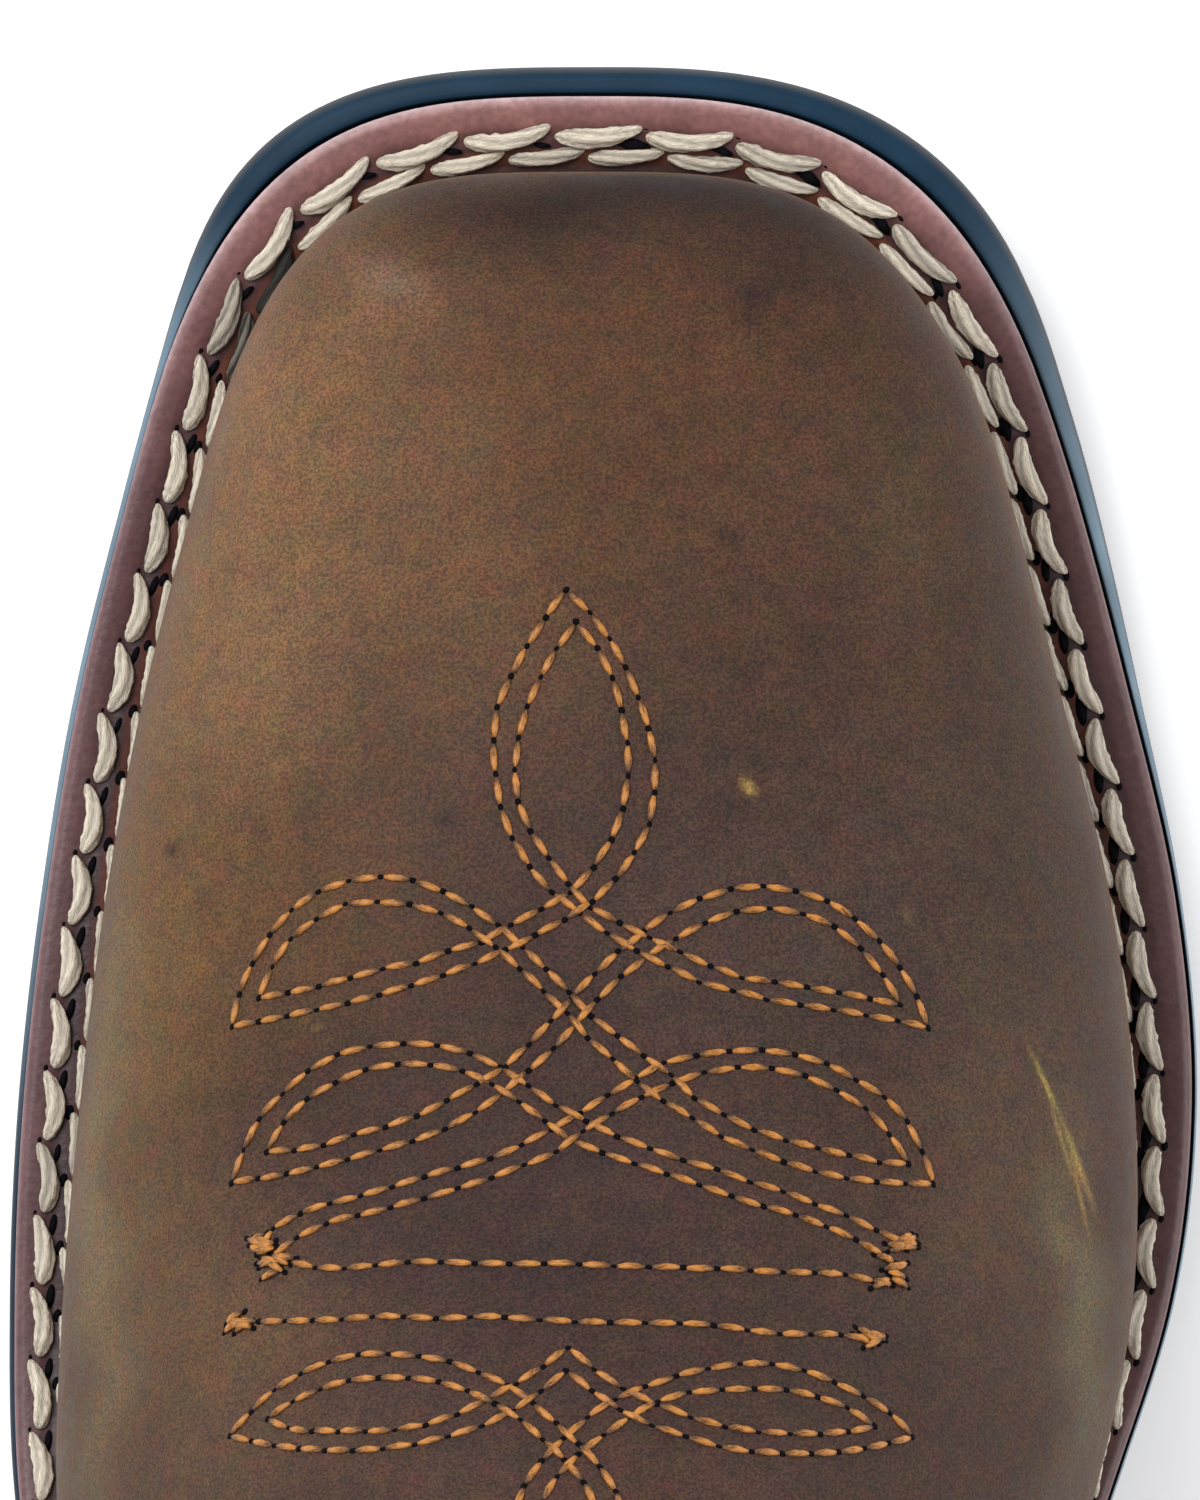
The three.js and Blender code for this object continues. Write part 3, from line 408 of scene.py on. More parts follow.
def meshFrom(name, points, quads, triangles=(), materials=(), slots=None, attributes=None):
    points = np.asarray(points, float).reshape(-1, 3)
    quads = np.asarray(quads, int).reshape(-1, 4)
    triangles = np.asarray(triangles, int).reshape(-1, 3)
    indices = np.concatenate([quads.ravel(), triangles.ravel()]).astype(np.int32)
    mesh = bpy.data.meshes.new(name)
    mesh.vertices.add(len(points))
    mesh.vertices.foreach_set("co", (points * mm).astype(np.float32).ravel())
    mesh.loops.add(len(indices))
    mesh.loops.foreach_set("vertex_index", indices)
    starts = np.concatenate([np.arange(len(quads)) * 4, len(quads) * 4 + np.arange(len(triangles)) * 3])
    mesh.polygons.add(len(starts))
    mesh.polygons.foreach_set("loop_start", starts.astype(np.int32))
    mesh.polygons.foreach_set("use_smooth", np.ones(len(starts), bool))
    for material in materials:
        mesh.materials.append(material)
    if slots is not None:
        mesh.polygons.foreach_set("material_index", np.asarray(slots, np.int32))
    # an attribute is a number, a vector or a colour, by how many values each point has
    kinds = {1: ("FLOAT", "value"), 3: ("FLOAT_VECTOR", "vector"), 4: ("FLOAT_COLOR", "color")}
    for key, values in (attributes or {}).items():
        values = np.asarray(values, np.float32).reshape(len(points), -1)
        kind, field = kinds[values.shape[1]]
        mesh.attributes.new(key, kind, "POINT").data.foreach_set(field, values.ravel())
    mesh.update(calc_edges=True)
    mesh.validate()
    piece = bpy.data.objects.new(name, mesh)
    bpy.context.scene.collection.objects.link(piece)
    return piece


def gridQuads(rows, columns, closeRows=False):
    # quads between rows of points, where each row closes on itself
    r, c = np.meshgrid(np.arange(rows if closeRows else rows - 1), np.arange(columns), indexing="ij")
    after, beside = (r + 1) % rows * columns, (c + 1) % columns
    return np.stack([r * columns + c, r * columns + beside, after + beside, after + c], -1).reshape(-1, 4)


def facesOut(points, quads, triangles=()):
    p = np.asarray(points, float).reshape(-1, 3)
    q = np.asarray(quads, int).reshape(-1, 4)
    tris = np.concatenate([q[:, [0, 1, 2]], q[:, [0, 2, 3]], np.asarray(triangles, int).reshape(-1, 3)])
    a, b, c = p[tris[:, 0]], p[tris[:, 1]], p[tris[:, 2]]
    return (a * np.cross(b, c)).sum() > 0


def finishPiece(piece, replaced=()):
    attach(piece, "root")
    if replaced:
        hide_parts(*replaced)
    return piece


def linear(hexColour):
    parts = [int(hexColour[i:i + 2], 16) / 255 for i in (1, 3, 5)]
    return tuple(c / 12.92 if c <= 0.04045 else ((c + 0.055) / 1.055) ** 2.4 for c in parts) + (1.0,)


def addNode(tree, kind, settings=None, links=None):
    node = tree.nodes.new(kind)
    for key, value in (settings or {}).items():
        if key == "stops":
            # a ramp's places with their colours, or greys
            elements = node.color_ramp.elements
            elements.remove(elements[1])
            for i, (at, colour) in enumerate(value):
                stop = elements.new(at) if i else elements[0]
                stop.position = at
                stop.color = linear(colour) if isinstance(colour, str) else (colour, colour, colour, 1)
        elif hasattr(node, key):
            setattr(node, key, value)
        else:
            node.inputs[key].default_value = value
    for socket, source in (links or {}).items():
        tree.links.new(source, node.inputs[socket])
    return node


def newMaterial(name):
    material = bpy.data.materials.new(name)
    material.use_nodes = True
    tree = material.node_tree
    tree.nodes.clear()
    return material, tree


# colours of the waxed leather, with painted light, placed over the picture's pixels: x, y, reach in x, reach in y,
# colour, strength
vampLook = {
    "base": "#4a3831",
    "patches": [
        # the pale patches at the upper left and down the lateral side, the light olive patch at (900, 520) and the pale
        # band along the right edge at (1075, 1300) are painted highlights and sheen
        (330, 420, 190, 260, "#8b6b50", 0.75), (560, 420, 260, 190, "#5a3e2c", 0.6),
        (230, 640, 120, 240, "#80644a", 0.75), (150, 980, 75, 320, "#6f5638", 0.75),
        (95, 1180, 30, 330, "#75664a", 0.75), (230, 1330, 120, 130, "#6c543e", 0.65),
        (700, 330, 170, 100, "#533a2a", 0.6), (900, 520, 60, 110, "#5a4a38", 0.6),
        (1010, 700, 90, 200, "#4e3f35", 0.55), (760, 700, 200, 150, "#4a3830", 0.5),
        (600, 960, 230, 210, "#433432", 0.75), (840, 960, 190, 170, "#463a36", 0.7),
        (520, 1240, 260, 150, "#3d3031", 0.7), (860, 1330, 150, 130, "#453a36", 0.6),
        (1000, 1150, 75, 200, "#5f4b3f", 0.6), (1075, 1300, 28, 170, "#6c624d", 0.75),
        (420, 250, 110, 40, "#4c382c", 0.4), (860, 250, 90, 50, "#382d26", 0.5),
        (300, 280, 40, 60, "#5c4733", 0.7), (560, 1400, 300, 60, "#433432", 0.6),
        (455, 560, 190, 160, "#634a35", 0.5), (300, 900, 130, 130, "#62472f", 0.5),
        (1000, 900, 60, 220, "#473c34", 0.5), (378, 290, 26, 20, "#8a7466", 0.45),
        # painted shade across the toe's front, at (640, 196) and (700, 250)
        (640, 196, 340, 42, "#231b19", 0.9), (700, 250, 300, 45, "#3d2c26", 0.45),
    ],
    "spots": [(730, 537, 9, 0.75), (172, 850, 8, 0.8), (755, 297, 17, 0.6), (745, 318, 9, 0.5), (445, 820, 9, 0.45),
              (712, 640, 7, 0.3), (905, 610, 6, 0.25), (640, 1330, 8, 0.2)],
    "scratches": [((1030, 1050), (1062, 1120), 2.2, 0.8), ((1060, 1115), (1096, 1212), 3.0, 0.7),
                  ((1048, 1096), (1074, 1180), 2.0, 0.5), ((1070, 1150), (1090, 1240), 2.2, 0.45),
                  ((742, 796), (756, 778), 4.0, 0.9), ((300, 1010), (330, 1040), 1.6, 0.2),
                  ((920, 880), (905, 925), 1.8, 0.2)],
    "scratchColour": "#a58d52",
}


def toPhoto(points):
    # where points of the boot fall in the picture
    p = np.asarray(points, float)
    x, t, z = p[..., 0] + shift, p[..., 1] + length / 2, p[..., 2]
    scale = view["down"] / view["frameHeight"] * view["distance"] / (view["distance"] + view["planeHeight"] - z)
    return view["across"] / 2 - (x - view["middleX"]) * scale, view["down"] / 2 + (t - view["middleT"]) * scale


def leatherTonesAndPaintedLight(points):
    px, py = toPhoto(points)
    px = px + 14 * np.sin(py / 61 + 1.3) + 9 * np.sin(py / 23 + px / 90)
    qy = py + 12 * np.sin(px / 47 + 0.4)
    colour = np.ones(px.shape + (3,)) * np.array(linear(vampLook["base"])[:3])
    for x, y, rx, ry, shade, strength in vampLook["patches"]:
        reach = np.exp(-(((px - x) / rx) ** 2 + ((qy - y) / ry) ** 2))[..., None] * strength
        colour = mix(colour, np.array(linear(shade)[:3]), reach)
    return colour


def paintMarks(points, colour):
    px, py = toPhoto(points)
    for x, y, radius, strength in vampLook["spots"]:
        reach = np.exp(-((px - x) ** 2 + (py - y) ** 2) / radius ** 2)[..., None] * strength
        colour = mix(colour, np.array(linear("#1d1b24")[:3]), reach)
    for (ax, ay), (bx, by), wide, strength in vampLook["scratches"]:
        dx, dy = bx - ax, by - ay
        k = np.clip(((px - ax) * dx + (py - ay) * dy) / (dx * dx + dy * dy), 0, 1)
        away = np.hypot(px - ax - k * dx, py - ay - k * dy)
        fade = np.sin(np.pi * np.clip(k * 0.9 + 0.05, 0, 1))
        reach = (np.exp(-(away / wide) ** 2) * strength * fade)[..., None]
        colour = mix(colour, np.array(linear(vampLook["scratchColour"])[:3]), reach)
    return colour


# waxed pull-up cowhide: tumbled, oiled and buffed, so fine warm and dark grains show in a soft low sheen
# its grain is drawn about twice as coarse as real, so that it shows at the picture's size
leatherLook = {"grainMm": 0.27, "mottleMm": 2.6, "cloudMm": 17, "creaseMm": 1.1, "roughness": 0.6}


def waxedLeather(name):
    material, tree = newMaterial(name)
    place = addNode(tree, "ShaderNodeTexCoord").outputs["Object"]
    paint = addNode(tree, "ShaderNodeAttribute", {"attribute_name": "paint"}).outputs["Color"]
    grain = addNode(tree, "ShaderNodeTexNoise",
                    {"Scale": 1 / (leatherLook["grainMm"] * mm), "Detail": 2.0, "Roughness": 0.6}, {"Vector": place})
    mottle = addNode(tree, "ShaderNodeTexNoise", {"Scale": 1 / (leatherLook["mottleMm"] * mm), "Detail": 3.0,
                                                  "Roughness": 0.62}, {"Vector": place})
    cloud = addNode(tree, "ShaderNodeTexNoise",
                    {"Scale": 1 / (leatherLook["cloudMm"] * mm), "Detail": 3.0}, {"Vector": place})
    # pale and dark grains either side of the base colour
    light = addNode(tree, "ShaderNodeMixRGB", {"blend_type": "MULTIPLY", "Fac": 1.0, "Color2": (1.38, 1.32, 1.12, 1)},
                    {"Color1": paint})
    dark = addNode(tree, "ShaderNodeMixRGB", {"blend_type": "MULTIPLY", "Fac": 1.0, "Color2": (0.71, 0.69, 0.74, 1)},
                   {"Color1": paint})
    grainShare = addNode(tree, "ShaderNodeValToRGB",
                         {"stops": [(0.38, 0.0), (0.62, 1.0)]}, {"Fac": grain.outputs["Fac"]})
    mottleShare = addNode(tree, "ShaderNodeValToRGB",
                          {"stops": [(0.3, 0.0), (0.7, 1.0)]}, {"Fac": mottle.outputs["Fac"]})
    speckled = addNode(tree, "ShaderNodeMixRGB", links={"Fac": grainShare.outputs["Color"], "Color1": dark.outputs[0],
                                                        "Color2": light.outputs[0]})
    # red, ochre and green flecks of the pull-up wax, fine and broad
    flecked = addNode(tree, "ShaderNodeMixRGB", {"blend_type": "OVERLAY", "Fac": 0.26},
                      {"Color1": speckled.outputs[0], "Color2": grain.outputs["Color"]})
    tinged = addNode(tree, "ShaderNodeMixRGB", {"blend_type": "OVERLAY", "Fac": 0.3},
                     {"Color1": flecked.outputs[0], "Color2": mottle.outputs["Color"]})
    mottleTone = addNode(tree, "ShaderNodeMixRGB",
                         {"blend_type": "MIX", "Color1": (0.87, 0.85, 0.88, 1), "Color2": (1.12, 1.11, 1.06, 1)},
                         {"Fac": mottleShare.outputs["Color"]})
    toned = addNode(tree, "ShaderNodeMixRGB", {"blend_type": "MULTIPLY", "Fac": 0.75},
                    {"Color1": tinged.outputs[0], "Color2": mottleTone.outputs[0]})
    cloudTone = addNode(tree, "ShaderNodeValToRGB", {"stops": [(0.3, 0.86), (0.7, 1.1)]}, {"Fac": cloud.outputs["Fac"]})
    clouded = addNode(tree, "ShaderNodeMixRGB", {"blend_type": "MULTIPLY", "Fac": 0.8},
                      {"Color1": toned.outputs[0], "Color2": cloudTone.outputs[0]})
    # pores and fine creases
    pores = addNode(tree, "ShaderNodeTexVoronoi", {"Scale": 1 / (leatherLook["creaseMm"] * mm)}, {"Vector": place})
    heights = addNode(tree, "ShaderNodeMath", {"operation": "MULTIPLY_ADD"})
    tree.links.new(pores.outputs["Distance"], heights.inputs[0])
    heights.inputs[1].default_value = 0.5
    tree.links.new(grain.outputs["Fac"], heights.inputs[2])
    bump = addNode(tree, "ShaderNodeBump", {"Strength": 0.22, "Distance": 0.00012}, {"Height": heights.outputs[0]})
    gloss = addNode(tree, "ShaderNodeMapRange",
                    {"From Min": 0.3, "From Max": 0.7, "To Min": leatherLook["roughness"] - 0.07,
                     "To Max": leatherLook["roughness"] + 0.1}, {"Value": mottle.outputs["Fac"]})
    shader = addNode(tree, "ShaderNodeBsdfPrincipled", {"Specular IOR Level": 0.1},
                     {"Base Color": clouded.outputs[0], "Roughness": gloss.outputs[0], "Normal": bump.outputs[0]})
    addNode(tree, "ShaderNodeOutputMaterial", links={"Surface": shader.outputs[0]})
    return material


# welt leather: vegetable-tanned, edge-inked and burnished, so it shows mauve and rust with a satin edge
weltGrain = {"fineMm": 0.7, "broadMm": 4.5}


def burnishedWelt():
    material, tree = newMaterial("burnished_welt_leather")
    place = addNode(tree, "ShaderNodeTexCoord").outputs["Object"]
    paint = addNode(tree, "ShaderNodeAttribute", {"attribute_name": "paint"}).outputs["Color"]
    fine = addNode(tree, "ShaderNodeTexNoise",
                   {"Scale": 1 / (weltGrain["fineMm"] * mm), "Detail": 3.0}, {"Vector": place})
    broad = addNode(tree, "ShaderNodeTexNoise",
                    {"Scale": 1 / (weltGrain["broadMm"] * mm), "Detail": 3.0}, {"Vector": place})
    fineTone = addNode(tree, "ShaderNodeValToRGB", {"stops": [(0.3, 0.78), (0.7, 1.22)]}, {"Fac": fine.outputs["Fac"]})
    broadTone = addNode(tree, "ShaderNodeValToRGB", {"stops": [(0.3, 0.8), (0.7, 1.15)]}, {"Fac": broad.outputs["Fac"]})
    first = addNode(tree, "ShaderNodeMixRGB",
                    {"blend_type": "MULTIPLY", "Fac": 0.8}, {"Color1": paint, "Color2": fineTone.outputs[0]})
    second = addNode(tree, "ShaderNodeMixRGB", {"blend_type": "MULTIPLY", "Fac": 0.8},
                     {"Color1": first.outputs[0], "Color2": broadTone.outputs[0]})
    bump = addNode(tree, "ShaderNodeBump", {"Strength": 0.3, "Distance": 0.0002}, {"Height": fine.outputs["Fac"]})
    shader = addNode(tree, "ShaderNodeBsdfPrincipled", {"Roughness": 0.42, "Specular IOR Level": 0.45},
                     {"Base Color": second.outputs[0], "Normal": bump.outputs[0]})
    addNode(tree, "ShaderNodeOutputMaterial", links={"Surface": shader.outputs[0]})
    return material


# sole: compression-moulded nitrile rubber, black, with a blue-grey painted sheen on its edge
rubberGrain = {"fineMm": 0.5, "broadMm": 9}


def mouldedRubber(name):
    material, tree = newMaterial(name)
    place = addNode(tree, "ShaderNodeTexCoord").outputs["Object"]
    paint = addNode(tree, "ShaderNodeAttribute", {"attribute_name": "paint"}).outputs["Color"]
    fine = addNode(tree, "ShaderNodeTexNoise",
                   {"Scale": 1 / (rubberGrain["fineMm"] * mm), "Detail": 2.0}, {"Vector": place})
    broad = addNode(tree, "ShaderNodeTexNoise",
                    {"Scale": 1 / (rubberGrain["broadMm"] * mm), "Detail": 4.0}, {"Vector": place})
    tone = addNode(tree, "ShaderNodeValToRGB", {"stops": [(0.3, 0.75), (0.7, 1.3)]}, {"Fac": broad.outputs["Fac"]})
    toned = addNode(tree, "ShaderNodeMixRGB", {"blend_type": "MULTIPLY", "Fac": 0.6},
                    {"Color1": paint, "Color2": tone.outputs[0]})
    bump = addNode(tree, "ShaderNodeBump", {"Strength": 0.15, "Distance": 0.0001}, {"Height": fine.outputs["Fac"]})
    shader = addNode(tree, "ShaderNodeBsdfPrincipled", {"Roughness": 0.52, "Specular IOR Level": 0.14},
                     {"Base Color": toned.outputs[0], "Normal": bump.outputs[0]})
    addNode(tree, "ShaderNodeOutputMaterial", links={"Surface": shader.outputs[0]})
    return material


# threads: waxed linen cord in the welt, bonded polyester in the seams; filaments laid along them catch the light
# "threadPlace" gives along, across and up in mm; fibreMm is drawn coarser than a real filament, so that it shows
def threadMaterial(name, light, dark, roughness, fibreMm=0.15, fibreStrength=0.85):
    material, tree = newMaterial(name)
    along = addNode(tree, "ShaderNodeAttribute", {"attribute_name": "threadPlace"}).outputs["Vector"]
    soilAndShade = addNode(tree, "ShaderNodeAttribute", {"attribute_name": "soilAndShade"}).outputs["Fac"]
    sheen = addNode(tree, "ShaderNodeAttribute", {"attribute_name": "shine"}).outputs["Fac"]
    stretch = addNode(tree, "ShaderNodeMapping", {"Scale": (1.5, 1 / fibreMm, 1 / fibreMm)}, {"Vector": along})
    fibres = addNode(tree, "ShaderNodeTexNoise",
                     {"Scale": 1.0, "Detail": 3.0, "Roughness": 0.6}, {"Vector": stretch.outputs[0]})
    share = addNode(tree, "ShaderNodeValToRGB", {"stops": [(0.36, 0.0), (0.6, 1.0)]}, {"Fac": fibres.outputs["Fac"]})
    strands = addNode(tree, "ShaderNodeMixRGB",
                      {"Color1": linear(dark), "Color2": linear(light)}, {"Fac": share.outputs[0]})
    # painted highlight: the thread's colour lifts to its light shade where shine is high
    bright = addNode(tree, "ShaderNodeMixRGB", {"Color2": linear(light)}, {"Fac": sheen, "Color1": strands.outputs[0]})
    # soil and painted shade darken the thread towards near black
    soiledAndShaded = addNode(tree, "ShaderNodeMixRGB",
                     {"Color2": linear("#2b2a26")}, {"Fac": soilAndShade, "Color1": bright.outputs[0]})
    bump = addNode(tree, "ShaderNodeBump",
                   {"Strength": fibreStrength, "Distance": 0.00018}, {"Height": fibres.outputs["Fac"]})
    shader = addNode(tree, "ShaderNodeBsdfPrincipled", {"Roughness": roughness, "Specular IOR Level": 0.35},
                     {"Base Color": soiledAndShaded.outputs[0], "Normal": bump.outputs[0]})
    addNode(tree, "ShaderNodeOutputMaterial", links={"Surface": shader.outputs[0]})
    return material


# pricked holes and awl slits: shadowed leather, near black, no shine
def darkHole():
    material, tree = newMaterial("shadowed_awl_holes")
    shader = addNode(tree, "ShaderNodeBsdfPrincipled", {"Base Color": linear("#0d0c12"), "Roughness": 0.9,
                                                        "Specular IOR Level": 0.1})
    addNode(tree, "ShaderNodeOutputMaterial", links={"Surface": shader.outputs[0]})
    return material


# lining: unfinished pigskin, napped, so it is matt and shows faint pores
liningGrain = {"broadMm": 14, "napMm": 0.6, "poreMm": 2.4}


def nappedLining():
    material, tree = newMaterial("napped_pigskin_lining")
    place = addNode(tree, "ShaderNodeTexCoord").outputs["Object"]
    broad = addNode(tree, "ShaderNodeTexNoise",
                    {"Scale": 1 / (liningGrain["broadMm"] * mm), "Detail": 5.0}, {"Vector": place})
    nap = addNode(tree, "ShaderNodeTexNoise",
                  {"Scale": 1 / (liningGrain["napMm"] * mm), "Detail": 2.0}, {"Vector": place})
    pores = addNode(tree, "ShaderNodeTexVoronoi", {"Scale": 1 / (liningGrain["poreMm"] * mm)}, {"Vector": place})
    base = addNode(tree, "ShaderNodeValToRGB",
                   {"stops": [(0.3, "#94734f"), (0.7, "#b3916a")]}, {"Fac": broad.outputs["Fac"]})
    poreShare = addNode(tree, "ShaderNodeValToRGB",
                        {"stops": [(0.0, 0.6), (0.16, 1.0)]}, {"Fac": pores.outputs["Distance"]})
    toned = addNode(tree, "ShaderNodeMixRGB", {"blend_type": "MULTIPLY", "Fac": 1.0},
                    {"Color1": base.outputs[0], "Color2": poreShare.outputs[0]})
    bump = addNode(tree, "ShaderNodeBump", {"Strength": 0.4, "Distance": 0.0003}, {"Height": nap.outputs["Fac"]})
    shader = addNode(tree, "ShaderNodeBsdfPrincipled", {"Roughness": 0.9, "Specular IOR Level": 0.15},
                     {"Base Color": toned.outputs[0], "Normal": bump.outputs[0]})
    addNode(tree, "ShaderNodeOutputMaterial", links={"Surface": shader.outputs[0]})
    return material


# n stitches from their centre lines: lines (n, k, 3), a half width and a half height for each of the k places,
# side directions and face normals (n, k, 3)
def stitchMesh(name, lines, across, normals, halfWide, halfHigh, material, around, plies, twist, soilAndShade, shine,
               seed, relief=0.085, crease=0.0):
    n, k, _ = lines.shape
    rng = np.random.default_rng(seed)
    angle = np.linspace(0, 2 * np.pi, around, endpoint=False)
    share = np.linspace(0, 1, k)
    phase = rng.uniform(0, 2 * np.pi, n)[:, None, None]
    strand = np.cos(plies * (angle[None, None] + twist * share[None, :, None]) + phase)
    swell = 1 + relief * strand + relief * 0.6 * rng.normal(size=(n, k, around))
    wide = halfWide[None, :, None] * np.cos(angle)[None, None] * swell
    high = halfHigh[None, :, None] * np.sin(angle)[None, None] * swell
    points = (lines[:, :, None] + across[:, :, None] * wide[..., None] + normals[:, :, None] * high[..., None])
    step = np.linalg.norm(lines[:, -1] - lines[:, 0], axis=-1)
    along = (share[None, :] * step[:, None])[:, :, None] + 40 * np.arange(n)[:, None, None] + 0 * wide
    threadPlace = np.stack([along, wide, high], -1)
    rings = points.reshape(-1, 3)
    ends = np.concatenate([lines[:, 0], lines[:, -1]])
    triangles = []
    one = gridQuads(k, around)
    quads = (one[None] + (np.arange(n) * k * around)[:, None, None]).reshape(-1, 4)
    a = np.arange(around)
    for end, row in ((0, 0), (1, k - 1)):
        centre = n * k * around + end * n + np.arange(n)
        first = (np.arange(n) * k * around + row * around)[:, None] + a
        second = (np.arange(n) * k * around + row * around)[:, None] + (a + 1) % around
        tips = np.repeat(centre[:, None], around, 1)
        fan = np.stack([tips, second, first] if end == 0 else [tips, first, second], -1)
        triangles.append(fan.reshape(-1, 3))
    points = np.concatenate([rings, ends])
    threadPlace = np.concatenate([threadPlace.reshape(-1, 3), np.zeros((2 * n, 3))])
    triangles = np.concatenate(triangles)
    if not facesOut(rings[:k * around] - rings[:k * around].mean(0), one):
        quads, triangles = quads[:, ::-1], triangles[:, ::-1]

    def perPoint(values):
        values = np.broadcast_to(values, (n, k, around))
        return np.concatenate([values.reshape(-1), values[:, 0, 0], values[:, -1, 0]])
    # the grooves between the plies get painted shade, added to the thread's soil
    soilAndShade = np.clip(soilAndShade[..., None] + crease * (0.5 - 0.5 * strand) ** 2, 0, 1)
    attributes = {"threadPlace": threadPlace, "soilAndShade": perPoint(soilAndShade), "shine": perPoint(shine[..., None])}
    return finishPiece(meshFrom(name, place(points), quads, triangles, materials=(material,), attributes=attributes))


def smoothLine(points, spacing=0.25):
    # a smooth curve through points, sampled closely
    p = np.asarray(points, float)
    if len(p) < 3:
        n = max(2, int(np.linalg.norm(p[1] - p[0]) / spacing))
        return p[0] + (p[1] - p[0]) * np.linspace(0, 1, n)[:, None]
    q = np.concatenate([[2 * p[0] - p[1]], p, [2 * p[-1] - p[-2]]])
    out = []
    for i in range(1, len(q) - 2):
        n = max(2, int(np.linalg.norm(q[i + 1] - q[i]) / spacing))
        k = np.linspace(0, 1, n, endpoint=False)[:, None]
        a, b, c, d = q[i - 1:i + 3]
        out.append(0.5 * (2 * b + (c - a) * k + (2 * a - 5 * b + 4 * c - d) * k ** 2
                          + (3 * b - a - 3 * c + d) * k ** 3))
    out.append(p[-1:])
    return np.concatenate(out)


def cutEvenly(line, pitch):
    # joints at equal steps along a line, so that whole stitches fit
    steps = np.linalg.norm(np.diff(line, axis=0), axis=1)
    run = np.concatenate([[0], np.cumsum(steps)])
    count = max(1, round(run[-1] / pitch))
    target = np.linspace(0, run[-1], count + 1)
    return np.stack([np.interp(target, run, line[:, a]) for a in range(3)], -1)


def lensMesh(name, centres, long, wide, normals, halfLong, halfWide, material, depth=0.12):
    # flat dark lenses let into the surface, one for each hole, as the painted shade in it
    n = len(centres)
    around = 10
    angle = np.linspace(0, 2 * np.pi, around, endpoint=False)
    rim = (centres[:, None] + long[:, None] * (halfLong[:, None] * np.cos(angle))[..., None]
           + wide[:, None] * (halfWide[:, None] * np.sin(angle))[..., None])
    top = centres + normals * depth * 0.6
    low = centres - normals * depth * 3
    points = np.concatenate([rim.reshape(-1, 3), top, low])
    a = np.arange(around)
    first = (np.arange(n) * around)[:, None] + a
    second = (np.arange(n) * around)[:, None] + (a + 1) % around
    tops = np.repeat((n * around + np.arange(n))[:, None], around, 1)
    lows = tops + n
    triangles = np.concatenate([np.stack([first, second, tops], -1).reshape(-1, 3),
                                np.stack([second, first, lows], -1).reshape(-1, 3)])
    piece = meshFrom(name, place(points), np.zeros((0, 4), int), triangles, materials=(material,))
    return finishPiece(piece)


# plan outlines, closely sampled
sampling = {"ends": 34, "middle": 150, "from": 50, "to": 250, "sharedFrom": 22}
grooves = {"count": 9, "first": 26, "pitch": 13.5, "width": 3.2, "depth": 2.2, "rim": 11, "slope": 0.25}


def stations(edge, extra=()):
    # with extra places, every outline has the same stations behind sharedFrom, so the sole's rows never cross
    square = sum(edge["square"]) / 2
    toeEnd = sampling["sharedFrom"] if len(extra) else edge["toe"] + boot["toeRound"]
    heelStart = length - edge["heel"] - boot["heelRound"]
    angle = np.linspace(0.012, 1, sampling["ends"]) ** 1.3 * np.pi / 2
    toe = toeEnd - (toeEnd - edge["toe"]) * np.cos(angle) ** (2 / square)
    heel = heelStart + boot["heelRound"] * np.cos(angle) ** (2 / boot["heelSquare"])
    middle = np.linspace(sampling["from"], sampling["to"], sampling["middle"])
    bridgeToe = np.linspace(toeEnd, sampling["from"], 26 if len(extra) else 10)[1:-1]
    if len(extra):
        middle, bridgeToe = np.unique(np.round(np.concatenate([bridgeToe, middle, extra]), 3)), []
    return np.concatenate([toe, bridgeToe, middle, heel[::-1]])


def edgePoints(t, side, edge, z):
    t = np.asarray(t, float)
    return np.stack([side * outlineHalf(t, np.full_like(t, side), edge), t - length / 2, z + 0 * t], -1)


# the boot is drawn about its own middle line, then moved so that its box is centred
ballRange = np.linspace(60, 160, 400)
medialReach, lateralReach = (outlineHalf(ballRange, np.full(400, s), soleEdge).max() for s in (-1.0, 1.0))
shift = (medialReach - lateralReach) / 2


def place(points):
    return np.asarray(points, float) + np.array([shift, 0, 0])


def bridge(a, b):
    i = j = 0
    out = []
    while i < len(a) - 1 or j < len(b) - 1:
        if j == len(b) - 1 or (i < len(a) - 1 and (i + 1) / (len(a) - 1) <= (j + 1) / (len(b) - 1)):
            out.append((a[i], a[i + 1], b[j]))
            i += 1
        else:
            out.append((a[i], b[j + 1], b[j]))
            j += 1
    return out


# closed loops swept into a piece; an open sweep is closed at each end between the two halves of its loop
def sweepPiece(name, sections, material, ring=False, half=None, attributes=None, extraMaterials=(), slots=None):
    sections = np.asarray(sections, float)
    n, m, _ = sections.shape
    quads = gridQuads(n, m, closeRows=ring)
    triangles = []
    if not ring:
        half = half or m // 2
        for start in (0, (n - 1) * m):
            a, b = list(range(start, start + half)), list(range(start + m - 1, start + half - 1, -1))
            ends = np.array(bridge(a, b))
            triangles.append(ends if start else ends[:, ::-1])
        triangles = np.concatenate(triangles)
    points = sections.reshape(-1, 3)
    if not facesOut(points, quads, triangles):
        quads = quads[:, ::-1]
        triangles = np.asarray(triangles, int).reshape(-1, 3)[:, ::-1]
    if slots is not None:
        slots = np.concatenate([np.asarray(slots), np.zeros(len(triangles), int)])
    return meshFrom(name, place(points), quads, triangles, materials=(material,) + tuple(extraMaterials),
                    attributes=attributes, slots=slots)


# sole colours; toe, lateral, medial and late are the painted sheen on the edge's shelf
rubberLook = {"black": "#11161b", "toe": "#193448", "lateral": "#6f8797", "medial": "#8095a3", "late": "#172a3b",
              "heel": "#16191d", "lift": "#111316"}


outsoleSize = {"bevel": 1.2, "channel": 0.75, "channelLateral": 0.4}


